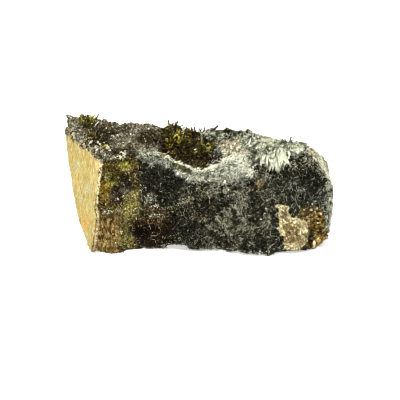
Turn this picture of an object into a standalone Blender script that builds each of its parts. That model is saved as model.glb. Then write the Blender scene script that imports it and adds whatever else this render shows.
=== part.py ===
"""Epidote crystal cluster: a broken piece of host rock that carries epidote crystals,
a white fibre fringe, a cream feldspar lump and a small lined pocket.

Metres, +Z up. X runs along the specimen, +X to the right of the face that is shown,
and -Y points to the viewer. The rock rests on a flat patch at Z = 0, and the origin is
under the middle of its box. The rock is laid out in millimetres, with Y counted back
from the foot of its front face, and everything is centred at the end.
"""

import math
import random
from functools import partial

import bmesh
import bpy
from mathutils import Matrix, Vector, noise
from mathutils.bvhtree import BVHTree

MM = 0.001
UP = Vector((0.0, 0.0, 1.0))
FORWARD = Vector((0.0, -1.0, 0.0))

# Ends of the rock and the slope of its flat cleaved face at the left, in millimetres
LEFT_FOOT = -25.1
LEFT_LEAN_BACK = -0.304
LEFT_LEAN_UP = 0.144
RIGHT_END = 31.2
RIGHT_MIDDLE = (10.0, 10.5)

# Lines along the length: pairs of X and a height or a depth
RIM_HEIGHT = [(-31, 21.4), (-22, 21.4), (-13.6, 22.9), (-7, 22.5), (-3, 21.1), (1.2, 19.2),
              (4, 20.3), (6.5, 21.8), (11, 22.3), (21, 21.2), (27, 20.4), (31.5, 17.6)]
MIDDLE_HEIGHT = [(-31, 23.2), (-18, 22.7), (-13.6, 21.4), (-9, 18.6), (-3, 15.8), (1.6, 15.4),
                 (6, 17.4), (11, 20.6), (15, 21.8), (22, 21.4), (27, 21.2), (31.5, 18.4)]
REAR_HEIGHT = [(-31, 24.1), (-27, 23.5), (-23, 22.6), (-18, 22.2), (-13.6, 22.2), (-9, 22.4),
               (-3, 22.3), (2, 21.4), (9, 21.5), (13.4, 21.0), (17, 20.0), (25, 19.4),
               (27, 19.9), (29, 18.6), (31.5, 16.4)]
FOOT_DEPTH = [(-25, 0.9), (-9, 1.0), (-1.4, 0.3), (5.6, 0.0), (13, -3.0), (20, -1.8),
              (26, 0.4), (29, 3.0), (31.5, 5.5)]
RIM_DEPTH = [(-31, 1.8), (-22, 1.6), (-13.6, 4.2), (-6, 2.4), (0, 1.6), (8, 1.8),
             (14, 2.2), (22, 2.6), (28, 5.0), (31.5, 8.0)]
REAR_DEPTH = [(-31, 30.4), (-15, 29.6), (2, 29.0), (13, 27.4), (21.6, 24.0), (25, 21.6),
              (28.7, 17.0), (31.5, 13.5)]
REAR_FOOT = [(-25, 2.0), (-19, 6.0), (-12, 15.0), (-5, 21.0), (13, 22.0), (21.6, 19.5),
             (28.7, 15.0), (31.5, 12.0)]
MIDDLE_SHARE = 0.42
SHOULDER_DROP = 1.8
SHOULDER_DEPTH = 4.0

# The rear face swells out with height above an undercut foot, and the right end draws in at its top
REAR_SWELL = 0.68
REAR_UNDERCUT = (-0.08, 0.3)
RIGHT_DRAWN_IN = 4.6

# Features of the front face: X range and Z range, or centre and half sizes
LOWER_BLOCK = (-25.5, -17.4, -3.0, 9.2)
LOWER_BLOCK_OUT = 2.0
SLANT_RIDGE = ((-17.4, 13.4), (-7.6, 8.8))
SLANT_RIDGE_OUT = 1.0
RIDGE_HOLLOW = (-12.0, 4.0, 4.8, 4.6)
RIDGE_HOLLOW_IN = 2.4
UPPER_HOLLOW = (-19.3, 14.6, 3.6, 5.2)
UPPER_HOLLOW_IN = 1.5
POCKET = (27.0, 6.3, 4.2, 5.9)
POCKET_IN = 3.4
FOOT_NOTCH = (-4.6, 3.0)
FOOT_NOTCH_UP = 1.6

# Grid of the rough block, and the triangles that it is thinned out to
CELLS_LONG = 84
CELLS_DEEP = 34
CELLS_HIGH = 32
ROCK_TRIANGLES = 2850

# Seed of the noise that breaks up the faces
ROCK_SEED = 5

# Gap between a crust and the rock, how deep a crust is rooted before it is cut back
# by that gap, and the least height of anything over the floor
SEAT_GAP = 0.3
CRUST_ROOT = 0.7
FLOOR_CLEARANCE = 0.2

# Faces that meet at less than this many degrees are joined
FLAT_ENOUGH = 3.0

# Ground that each crust covers: X range, and Y range on the top or Z range on the front
SPRAY_BOX = (-29.2, -20.6, 11.5, 29.4)
BASIN_BOX = (-10.2, 6.6, 9.4, 28.6)
FRINGE_BOX = (2.5, 29.5, 2.0, 13.0)
POCKET_BOX = (25.0, 29.9, 1.4, 10.2)

# Lobes of the feldspar lump: X and Z of the middle, then the half sizes
FELDSPAR_BODY = (22.2, 3.5, (3.1, 2.0, 3.4))
FELDSPAR_SIDE_LOBE = (20.1, 6.1, (1.9, 1.5, 2.1))
FELDSPAR_LOW_LOBE = (20.9, 3.5, (1.6, 1.3, 2.8))
FELDSPAR_TOP_LOBE = (23.3, 5.5, (2.3, 1.8, 2.1))
FELDSPAR_SHOULDER = (21.5, 7.0, (1.9, 1.4, 1.9))
FELDSPAR_NECK = (20.0, 8.7, (1.5, 1.2, 2.6))
FELDSPAR_HOOK = (19.6, 11.0, (1.55, 1.05, 1.0))
FELDSPAR_LOBES = (FELDSPAR_BODY, FELDSPAR_SIDE_LOBE, FELDSPAR_LOW_LOBE, FELDSPAR_TOP_LOBE, FELDSPAR_SHOULDER,
                  FELDSPAR_NECK, FELDSPAR_HOOK)

# How deep a lobe's middle is set, and its roughness and chips as shares of its least half size
FELDSPAR_ROOT = 0.25
FELDSPAR_ROUGH = 0.45
FELDSPAR_CHIPS = 1.1

# Locks of the fringe, how much longer they hang at its left end, and the grain of a mat
FRINGE_LOCKS = 30
LONG_LOCKS = 2.0
MAT_GRAIN = 2.0

# Turn between neighbours on an even spiral, in radians
GOLDEN_TURN = 2.39996


def remove_everything():
    for thing in list(bpy.data.objects):
        bpy.data.objects.remove(thing, do_unlink=True)


def new_collection(name):
    group = bpy.data.collections.new(name)
    bpy.context.scene.collection.children.link(group)
    return group


def new_material(name, colour, roughness):
    material = bpy.data.materials.new(name)
    material.use_nodes = True
    shader = material.node_tree.nodes["Principled BSDF"]
    shader.inputs["Base Color"].default_value = (*colour, 1.0)
    shader.inputs["Roughness"].default_value = roughness
    shader.inputs["Metallic"].default_value = 0.0
    material.diffuse_color = (*colour, 1.0)
    return material


def link_mesh(name, mesh, group, material):
    """One named piece with its own material."""
    thing = bpy.data.objects.new(name, mesh)
    group.objects.link(thing)
    mesh.materials.clear()
    mesh.materials.append(material)
    return thing


def new_helper(name, mesh, helpers):
    """A rough block or a cutter, which isn't part of the specimen."""
    thing = bpy.data.objects.new(name, mesh)
    helpers.objects.link(thing)
    thing.hide_render = True
    thing.display_type = 'WIRE'
    return thing


def mesh_from(name, bm):
    mesh = bpy.data.meshes.new(name)
    bm.to_mesh(mesh)
    bm.free()
    return mesh


def mix(low, high, share):
    return low + (high - low) * share


def ease(low, high, value):
    share = min(1.0, max(0.0, (value - low) / (high - low)))
    return share * share * (3.0 - 2.0 * share)


def along_line(points, x):
    """Height or depth at X on a line of hand-placed points."""
    if x <= points[0][0]:
        return points[0][1]
    for (x0, value0), (x1, value1) in zip(points, points[1:]):
        if x <= x1:
            return mix(value0, value1, (x - x0) / (x1 - x0))
    return points[-1][1]


def swell(x, z, oval):
    """A smooth bump: 1 at the middle of the oval, 0 outside it."""
    centre_x, centre_z, half_wide, half_high = oval
    reach = ((x - centre_x) / half_wide) ** 2 + ((z - centre_z) / half_high) ** 2
    return (1.0 - reach) ** 2 if reach < 1.0 else 0.0


def plateau(x, z, box, edge):
    """A flat-topped step with steep sides."""
    low_x, high_x, low_z, high_z = box
    across = ease(low_x - edge, low_x, x) * (1.0 - ease(high_x, high_x + edge, x))
    up = ease(low_z - edge, low_z, z) * (1.0 - ease(high_z, high_z + edge, z))
    return across * up


def ridge(x, z, line, half_wide):
    """A low ridge along a straight line."""
    start = Vector(line[0])
    run = Vector(line[1]) - start
    offset = Vector((x, z)) - start
    share = min(1.0, max(0.0, offset.dot(run) / run.length_squared))
    away = (offset - run * share).length / half_wide
    return (1.0 - away * away) ** 2 if away < 1.0 else 0.0


def chips(point, size):
    """Tilted flat chips with small steps between them, about -1 to 1."""
    place = point / size
    centre = noise.voronoi(place)[1][0]
    lean = noise.noise_vector(centre * 7.3)
    step = noise.noise(centre * 5.1 + Vector((3.7, 1.9, 8.2)))
    return 1.4 * lean.dot(place - centre) + 1.2 * step


def relief(x, y, z, coarse, fine):
    """Lumps and chips of a broken rock face, in millimetres."""
    point = Vector((x, y, z))
    lump = noise.noise(point / 8.5)
    return coarse * (1.5 * lump + 0.8 * chips(point, 5.6)) + fine * chips(point, 2.4)


def top_height(x, y):
    front = along_line(RIM_DEPTH, x)
    back = along_line(REAR_DEPTH, x)
    share = min(1.0, max(0.0, (y - front) / (back - front)))
    middle = along_line(MIDDLE_HEIGHT, x)
    if share < MIDDLE_SHARE:
        height = mix(along_line(RIM_HEIGHT, x), middle, ease(0.0, MIDDLE_SHARE, share))
    else:
        height = mix(middle, along_line(REAR_HEIGHT, x), ease(MIDDLE_SHARE, 1.0, share))
    shoulder = SHOULDER_DROP * ease(6.0, 12.0, x) * (1.0 - ease(-0.5, SHOULDER_DEPTH, y - front))
    return height - shoulder + relief(x, y, 50.0, 0.65, 0.35)


def front_face(x, z, top):
    share = min(1.0, max(0.0, z / top))
    y = mix(along_line(FOOT_DEPTH, x), along_line(RIM_DEPTH, x), share ** 1.6)
    y -= LOWER_BLOCK_OUT * plateau(x, z, LOWER_BLOCK, 0.8)
    y -= SLANT_RIDGE_OUT * ridge(x, z, SLANT_RIDGE, 1.9)
    y += RIDGE_HOLLOW_IN * swell(x, z, RIDGE_HOLLOW)
    y += UPPER_HOLLOW_IN * swell(x, z, UPPER_HOLLOW)
    y += POCKET_IN * swell(x, z, POCKET) ** 0.5
    return y - relief(x, -20.0, z, 0.75, 0.4)


def rear_face(x, z, top):
    share = min(1.0, max(0.0, z / (top - 5.0)))
    undercut = ease(*REAR_UNDERCUT, share)
    y = mix(along_line(REAR_FOOT, x), along_line(REAR_DEPTH, x), undercut * share ** REAR_SWELL)
    return y + relief(x, 70.0, z, 0.75, 0.4)


def left_face(y, z):
    """The flat cleaved face, with a grain of a tenth of a millimetre."""
    grain = 0.1 * chips(Vector((90.0, y, z)), 3.0)
    return LEFT_FOOT + LEFT_LEAN_BACK * y + LEFT_LEAN_UP * z - grain


def right_face(y, z):
    middle_y, middle_z = RIGHT_MIDDLE
    x = RIGHT_END - 4.5 * (abs(y - middle_y) / 11.0) ** 2.2
    x -= RIGHT_DRAWN_IN * ease(middle_z + 3.0, 24.5, z) ** 1.1
    x -= 1.0 * (1.0 - ease(0.0, 3.5, z))
    return x + relief(-90.0, y, z, 0.45, 0.3)


def underside(x, along, deep):
    """Zero over the flat patch that the rock rests on, chipped up at its edges."""
    edge = min(deep, 1.0 - deep, 1.6 * along, 1.6 * (1.0 - along))
    chipped = 1.1 * (1.0 - ease(0.0, 0.13, edge)) * (0.55 + noise.noise(Vector((x / 3.0, deep * 6.0, 5.0))))
    notch_x, notch_half = FOOT_NOTCH
    notch_share = 1.0 - ease(0.4, 1.0, abs(x - notch_x) / notch_half)
    notch = FOOT_NOTCH_UP * notch_share * (1.0 - ease(0.1, 0.3, deep))
    return max(0.0, chipped + notch)


def rock_point(along, deep, high):
    """Place in the rock for shares of its length, depth and height."""
    x = mix(LEFT_FOOT, RIGHT_END, along)
    y = mix(0.0, 25.0, deep)
    for _ in range(5):
        top = top_height(x, y)
        z = mix(underside(x, along, deep), top, high)
        y = mix(front_face(x, z, top), rear_face(x, z, top), deep)
        x = mix(left_face(y, z), right_face(y, z), along)
    return Vector((x, y, z))


def cut_cells(bm, axis, cells):
    """Divide the edges that run along one axis into equal cells."""
    runs = [e for e in bm.edges if abs((e.verts[1].co - e.verts[0].co)[axis]) > 1e-6]
    bmesh.ops.subdivide_edges(bm, edges=runs, cuts=cells - 1, use_grid_fill=True)


def divided_cube(cells_x, cells_y, cells_z):
    """A cube from 0 to 1 on each axis, divided into cells."""
    bm = bmesh.new()
    bmesh.ops.create_cube(bm, size=1.0)
    bmesh.ops.translate(bm, verts=bm.verts, vec=(0.5, 0.5, 0.5))
    for axis, cells in enumerate((cells_x, cells_y, cells_z)):
        if cells > 1:
            cut_cells(bm, axis, cells)
    return bm


def evaluated_mesh(thing, name):
    graph = bpy.context.evaluated_depsgraph_get()
    mesh = bpy.data.meshes.new_from_object(thing.evaluated_get(graph), depsgraph=graph)
    mesh.name = name
    return mesh


def build_matrix(group, helpers, material):
    """The host rock: a divided block shaped by its faces, then thinned to large facets."""
    bm = divided_cube(CELLS_LONG, CELLS_DEEP, CELLS_HIGH)
    for vert in bm.verts:
        vert.co = rock_point(*vert.co) * MM
    block = new_helper("matrix_block", mesh_from("matrix_block", bm), helpers)
    thin = block.modifiers.new("thin", 'DECIMATE')
    thin.ratio = ROCK_TRIANGLES / (2 * len(block.data.polygons))
    mesh = evaluated_mesh(block, "matrix")
    return link_mesh("matrix", mesh, group, material)


def grown_copy(thing, helpers):
    """A piece grown by the gap that its neighbours keep to it."""
    grown = new_helper(thing.name + "_clearance", thing.data.copy(), helpers)
    push = grown.modifiers.new("gap", 'DISPLACE')
    push.mid_level = 0.0
    push.strength = SEAT_GAP * MM
    return grown


def keep_largest_body(mesh):
    """Join the faces that are nearly flat, then drop the crumbs that a cut leaves."""
    bm = bmesh.new()
    bm.from_mesh(mesh)
    bmesh.ops.triangulate(bm, faces=bm.faces)
    bmesh.ops.dissolve_limit(bm, angle_limit=math.radians(FLAT_ENOUGH), verts=bm.verts, edges=bm.edges)
    bmesh.ops.triangulate(bm, faces=bm.faces)
    left = set(bm.faces)
    bodies = []
    while left:
        body = {left.pop()}
        edge_of_body = list(body)
        while edge_of_body:
            face = edge_of_body.pop()
            for edge in face.edges:
                if len(edge.link_faces) != 2:
                    continue
                for other in edge.link_faces:
                    if other in left:
                        left.discard(other)
                        body.add(other)
                        edge_of_body.append(other)
        bodies.append(body)
    bodies.sort(key=len)
    crumbs = [face for body in bodies[:-1] for face in body]
    bmesh.ops.delete(bm, geom=crumbs, context='FACES')
    bm.to_mesh(mesh)
    bm.free()


def settle(name, shells, neighbours, group, helpers, material):
    """Join overlapping closed shells into one body that stops short of its neighbours."""
    rough = new_helper(name + "_shells", mesh_from(name + "_shells", shells), helpers)
    for neighbour in neighbours:
        seat = rough.modifiers.new("seat", 'BOOLEAN')
        seat.operation = 'DIFFERENCE'
        seat.solver = 'EXACT'
        seat.use_self = True
        seat.object = neighbour
    mesh = evaluated_mesh(rough, name)
    keep_largest_body(mesh)
    return link_mesh(name, mesh, group, material)


def on_top(tree, x, y):
    """Point of the rock's upper surface, in millimetres."""
    hit = tree.ray_cast(Vector((x, y, 60.0)) * MM, Vector((0.0, 0.0, -1.0)))[0]
    return hit / MM if hit else Vector((x, y, 0.0))


def on_front(tree, x, z):
    """Point of the rock's front surface, in millimetres."""
    hit = tree.ray_cast(Vector((x, -40.0, z)) * MM, Vector((0.0, 1.0, 0.0)))[0]
    return hit / MM if hit else Vector((x, 0.0, z))


def join_into(bm, part):
    mesh = mesh_from("part", part)
    bm.from_mesh(mesh)
    bpy.data.meshes.remove(mesh)


def combed(point, size):
    """Ridges that run from front to back, about -1 to 1."""
    return 2.0 * noise.noise(Vector((point.x / size, point.y / (6.0 * size), 4.0)))


def add_mat(bm, ground, out, box, cells, thick, lumps, grain=chips):
    """A mat that follows the rock inside an oval box and thins out at its edge."""
    low_x, high_x, low_w, high_w = box
    mat = divided_cube(cells[0], cells[1], 1)
    for vert in mat.verts:
        share_x, share_w, level = vert.co
        x = mix(low_x, high_x, share_x)
        w = mix(low_w, high_w, share_w)
        reach = abs(2.0 * share_x - 1.0) ** 2.5 + abs(2.0 * share_w - 1.0) ** 2.5
        foot = ground(x, w)
        lift = -CRUST_ROOT
        if level > 0.5 and reach < 1.0:
            lift = max(thick * (1.0 - reach) ** 0.5 + lumps * grain(foot, MAT_GRAIN), 0.2 - CRUST_ROOT)
        elif level > 0.5:
            lift = 0.2 - CRUST_ROOT
        vert.co = (foot + out * lift) * MM
    join_into(bm, mat)


def turned(direction, twist):
    """Rotation that sends +Z along a direction, after a twist about it."""
    aim = Vector(direction).normalized().to_track_quat('Z', 'Y').to_matrix()
    return aim @ Matrix.Rotation(twist, 3, 'Z')


def add_crystal(bm, foot, direction, length, width, twist, hipped):
    """A flattened six-sided prism, with a hipped or a slanted end."""
    shaft = bmesh.new()
    bmesh.ops.create_cone(shaft, cap_ends=True, segments=6, radius1=width / 2.0,
                          radius2=width / 2.2, depth=length)
    cap = max(shaft.faces, key=lambda face: face.calc_center_median().z)
    if hipped:
        roof = bmesh.ops.extrude_face_region(shaft, geom=[cap])
        for vert in [item for item in roof["geom"] if isinstance(item, bmesh.types.BMVert)]:
            vert.co.x *= 0.3
            vert.co.y *= 0.7
            vert.co.z += 0.35 * width
        bmesh.ops.delete(shaft, geom=[cap], context='FACES_ONLY')
    else:
        for vert in cap.verts:
            vert.co.z += 0.7 * vert.co.x
    bmesh.ops.scale(shaft, verts=shaft.verts, vec=(1.0, 0.72, 1.0))
    bmesh.ops.translate(shaft, verts=shaft.verts, vec=(0.0, 0.0, length / 2.0))
    bmesh.ops.rotate(shaft, verts=shaft.verts, matrix=turned(direction, twist))
    bmesh.ops.translate(shaft, verts=shaft.verts, vec=foot)
    bmesh.ops.scale(shaft, verts=shaft.verts, vec=(MM, MM, MM))
    join_into(bm, shaft)


def add_lock(bm, root, shoulder, tip, width):
    """A tapered lock of fibres that bends over a shoulder from its root to its tip."""
    lock = bmesh.new()
    bmesh.ops.create_cone(lock, cap_ends=True, segments=4, radius1=0.5, radius2=0.5, depth=2.0)
    sides = [e for e in lock.edges if abs(e.verts[0].co.z - e.verts[1].co.z) > 1.0]
    bmesh.ops.subdivide_edges(lock, edges=sides, cuts=1, use_grid_fill=True)
    stations = {-1: (root, shoulder - root, 0.8 * width), 0: (shoulder, tip - root, width),
                1: (tip, tip - shoulder, 0.3 * width)}
    for vert in lock.verts:
        centre, run, across = stations[round(vert.co.z)]
        rim = Vector((vert.co.x * across, vert.co.y * across, 0.0))
        vert.co = (centre + turned(run, 0.0) @ rim) * MM
    join_into(bm, lock)


def add_boulder(bm, centre, half_sizes, finer, rough, size):
    """An angular lump: a sphere pushed in and out by chips."""
    ball = bmesh.new()
    bmesh.ops.create_icosphere(ball, subdivisions=finer, radius=1.0)
    for vert in ball.verts:
        way = vert.co.normalized()
        point = Vector(centre) + Vector([way[axis] * half_sizes[axis] for axis in range(3)])
        point += way * rough * chips(point, size)
        point.z = max(point.z, FLOOR_CLEARANCE)
        vert.co = point * MM
    join_into(bm, ball)


def spiral(count):
    """Evenly spread places in a unit circle: pairs of a reach and a turn."""
    for index in range(count):
        yield math.sqrt((index + 0.5) / count), index * GOLDEN_TURN


def scatter_crystals(bm, ground, out, rng, box, count, length, width, spread, hipped):
    """Crystals that stand on the rock in an oval box and lean outwards at random."""
    low_x, high_x, low_w, high_w = box
    side = Vector((0.0, 1.0, 0.0)) if out == UP else Vector((0.0, 0.0, 1.0))
    for reach, turn in spiral(count):
        x = mix(low_x, high_x, 0.5 + 0.46 * reach * math.cos(turn)) + rng.uniform(-0.4, 0.4)
        w = mix(low_w, high_w, 0.5 + 0.46 * reach * math.sin(turn)) + rng.uniform(-0.4, 0.4)
        lean_x = spread * (reach * math.cos(turn) + rng.uniform(-1.3, 1.3))
        lean_w = spread * (0.7 * reach * math.sin(turn) + rng.uniform(-1.3, 1.0))
        lean = out + Vector((1.0, 0.0, 0.0)) * lean_x + side * lean_w
        size = rng.uniform(0.75, 1.25)
        add_crystal(bm, ground(x, w) - 0.1 * out, lean, length * size, width * size,
                    rng.uniform(0.0, math.pi), hipped)


def build_left_spray(tree, neighbours, group, helpers, material):
    """Epidote prisms that stand up at the rear left corner of the top."""
    shells = bmesh.new()
    ground = partial(on_top, tree)
    add_mat(shells, ground, UP, SPRAY_BOX, (6, 11), 0.8, 0.3)
    scatter_crystals(shells, ground, UP, random.Random(11), SPRAY_BOX, 22, 2.5, 0.9, 0.5, True)
    return settle("epidote_spray", shells, neighbours, group, helpers, material)


def build_basin_crust(tree, neighbours, group, helpers, material):
    """Epidote prisms that line the hollow in the top."""
    shells = bmesh.new()
    ground = partial(on_top, tree)
    add_mat(shells, ground, UP, BASIN_BOX, (10, 12), 0.7, 0.35)
    scatter_crystals(shells, ground, UP, random.Random(23), BASIN_BOX, 50, 2.1, 0.9, 0.55, False)
    return settle("epidote_basin_crust", shells, neighbours, group, helpers, material)


def build_pocket_crust(tree, neighbours, group, helpers, material):
    """Short brown crystals on the wall of the pocket at the lower right."""
    shells = bmesh.new()
    ground = partial(on_front, tree)
    add_mat(shells, ground, FORWARD, POCKET_BOX, (5, 7), 0.6, 0.25)
    scatter_crystals(shells, ground, FORWARD, random.Random(37), POCKET_BOX, 16, 1.1, 1.1, 0.25, False)
    return settle("pocket_crust", shells, neighbours, group, helpers, material)


def build_feldspar(tree, neighbours, group, helpers, material):
    """The cream lump at the lower right, with a thin neck and a hooked end at the upper left."""
    shells = bmesh.new()
    for x, z, half_sizes in FELDSPAR_LOBES:
        middle = Vector((x, on_front(tree, x, z).y + FELDSPAR_ROOT, z))
        least = min(half_sizes)
        add_boulder(shells, middle, half_sizes, 3, FELDSPAR_ROUGH * least, FELDSPAR_CHIPS * least)
    return settle("feldspar_lump", shells, neighbours, group, helpers, material)


def build_fringe(tree, neighbours, group, helpers, material):
    """White fibre mat along the right part of the rim, with locks combed down its front."""
    rng = random.Random(41)
    shells = bmesh.new()
    ground = partial(on_top, tree)
    add_mat(shells, ground, UP, FRINGE_BOX, (28, 4), 0.8, 0.5, combed)
    low_x, high_x = FRINGE_BOX[:2]
    for index in range(FRINGE_LOCKS):
        x = mix(low_x + 1.0, high_x - 1.6, (index + 0.5) / FRINGE_LOCKS) + rng.uniform(-0.2, 0.2)
        rim = along_line(RIM_DEPTH, x)
        root = ground(x, rim + 2.4) + 0.25 * UP
        edge = ground(x, rim + 0.7)
        shoulder = edge + Vector((rng.uniform(-0.3, 0.3), -0.7, 0.1))
        tip_x = x + rng.uniform(-0.7, 0.7)
        drop = rng.uniform(0.9, 2.0) + LONG_LOCKS * (1.0 - ease(9.0, 14.0, x))
        tip = on_front(tree, tip_x, edge.z - drop) + 0.35 * FORWARD
        add_lock(shells, root, shoulder, tip, rng.uniform(0.9, 1.3))
    return settle("byssolite_fringe", shells, neighbours, group, helpers, material)


def stand_on_origin(things):
    """Centre the box of everything in X and Y, with its foot at Z = 0."""
    corners = [thing.matrix_world @ vert.co for thing in things for vert in thing.data.vertices]
    low = Vector([min(corner[axis] for corner in corners) for axis in range(3)])
    high = Vector([max(corner[axis] for corner in corners) for axis in range(3)])
    shift = Vector((-(low.x + high.x) / 2.0, -(low.y + high.y) / 2.0, -low.z))
    for thing in things:
        for vert in thing.data.vertices:
            vert.co += shift


def build_specimen():
    remove_everything()
    noise.seed_set(ROCK_SEED)
    group = new_collection("epidote_cluster")
    helpers = new_collection("helpers")
    stone = new_material("dark_host_rock", (0.075, 0.08, 0.065), 0.9)
    olive = new_material("olive_epidote", (0.13, 0.12, 0.02), 0.35)
    brown = new_material("brown_epidote", (0.10, 0.07, 0.015), 0.35)
    amber = new_material("amber_crystal", (0.26, 0.13, 0.03), 0.3)
    cream = new_material("cream_feldspar", (0.62, 0.52, 0.34), 0.6)
    white = new_material("white_byssolite", (0.62, 0.68, 0.6), 0.85)

    rock = build_matrix(group, helpers, stone)
    clearance = grown_copy(rock, helpers)
    bpy.context.view_layer.update()
    tree = BVHTree.FromObject(rock, bpy.context.evaluated_depsgraph_get())
    lump = build_feldspar(tree, [clearance], group, helpers, cream)
    lump_clearance = grown_copy(lump, helpers)
    pocket = build_pocket_crust(tree, [clearance, lump_clearance], group, helpers, amber)
    spray = build_left_spray(tree, [clearance], group, helpers, olive)
    basin = build_basin_crust(tree, [clearance], group, helpers, brown)
    fringe = build_fringe(tree, [clearance], group, helpers, white)
    stand_on_origin([rock, lump, pocket, spray, basin, fringe])


build_specimen()
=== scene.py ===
"""Looks of an epidote specimen: the broken surface of its host rock, the felt and the
fringe of fine fibres on it, epidote prisms, amber crystals, a cream lump and grains.

The frame is in metres, with +Z up, +X to the right of the face that is shown and -Y
towards the viewer. Places and sizes below are in millimetres in that same frame.
"""

import math

import bmesh
import bpy
import numpy as np
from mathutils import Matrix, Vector, kdtree, noise


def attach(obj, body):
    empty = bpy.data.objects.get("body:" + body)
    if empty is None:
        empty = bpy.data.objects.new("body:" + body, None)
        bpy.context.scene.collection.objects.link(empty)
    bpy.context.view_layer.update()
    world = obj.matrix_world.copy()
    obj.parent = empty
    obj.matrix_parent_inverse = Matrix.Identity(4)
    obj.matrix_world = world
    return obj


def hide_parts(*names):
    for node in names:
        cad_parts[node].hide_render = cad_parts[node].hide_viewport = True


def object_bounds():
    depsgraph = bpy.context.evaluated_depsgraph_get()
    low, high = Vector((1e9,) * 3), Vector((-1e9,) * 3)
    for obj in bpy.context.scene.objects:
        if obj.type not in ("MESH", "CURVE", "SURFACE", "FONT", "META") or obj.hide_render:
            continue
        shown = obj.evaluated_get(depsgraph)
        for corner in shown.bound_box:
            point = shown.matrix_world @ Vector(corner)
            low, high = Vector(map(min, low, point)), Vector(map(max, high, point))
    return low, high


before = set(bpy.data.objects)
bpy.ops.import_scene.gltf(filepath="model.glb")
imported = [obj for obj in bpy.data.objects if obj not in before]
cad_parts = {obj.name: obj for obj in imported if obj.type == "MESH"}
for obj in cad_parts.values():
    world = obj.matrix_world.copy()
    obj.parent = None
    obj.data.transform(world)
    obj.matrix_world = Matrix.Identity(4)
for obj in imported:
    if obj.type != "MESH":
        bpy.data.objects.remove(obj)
cad_box = [list(corner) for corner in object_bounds()]

MM = 0.001
NOISE_SEED = 9
UP = np.array((0.0, 0.0, 1.0))

# Flat cleaved face at the left: its X at the origin and its slopes along Y and Z
CLEAVED_FACE = (-28.95, -0.295, 0.122)

# Size of the cells that the rock and the lump are rebuilt with, the limits of the rock's relief,
# and the height under which a point of the rock rests on the floor
ROCK_CELL = 0.3
LUMP_CELL = 0.16
ROCK_RELIEF = (-1.6, 0.5)
RESTING_UNDER = 0.12

# How far everything stays inside the box of the solids, and how deep the foot of a fibre is set
BOX_MARGIN = 0.02
FIBRE_ROOT = 0.12

# Depth of the fine bumps of the rock and the lump, and the width of the pixel filter
BUMP_DEPTH = 0.12
PIXEL_FILTER = 1.1
# A seen place is X and a height: Z, plus this share of the depth behind the front
SEEN_SLOPE = 0.325
SEEN_START = -14.1

# Seen lines, as X and heights: the rim between the front and the top, the lower of its
# two pale ridges, and the tips of the fringe that hangs from it
RIM = ((-18.6, -15.6, -13.4, -11.3, -8.8, -6.7, -4.4, -2.0, 0.1, 1.6, 2.8, 4.9, 6.0, 8.6, 12.9, 19.0,
        25.1, 28.7),
       (27.2, 26.9, 26.4, 25.2, 24.2, 22.9, 21.7, 20.8, 19.9, 19.8, 20.4, 21.4, 22.4, 24.3, 25.7, 27.7,
        26.5, 24.0))
LOWER_RIDGE = ((-18.6, -15.6, -13.7, -10.6, -7.8, -4.9, -3.4, -2.1, 0.5, 3.3, 7.5),
               (27.2, 24.8, 24.8, 23.2, 22.5, 21.1, 19.9, 18.6, 18.9, 18.6, 17.8))
FRINGE_TIPS = ((12.2, 14.5, 16.7, 19.0, 20.4, 21.4, 23.3, 24.0, 26.8),
               (22.4, 21.0, 20.0, 20.0, 21.2, 22.7, 22.7, 24.1, 24.8))
# Where the rubble of the top hangs over the cleaved face, and the white line of the right corner
FACE_TOP = ((-31.1, -29.1, -27.4, -25.7, -24.4, -22.4), (29.6, 28.2, 26.3, 25.0, 24.1, 22.2))
CORNER_LINE = ((25.2, 28.4, 30.6), (26.0, 22.4, 18.4))

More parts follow.
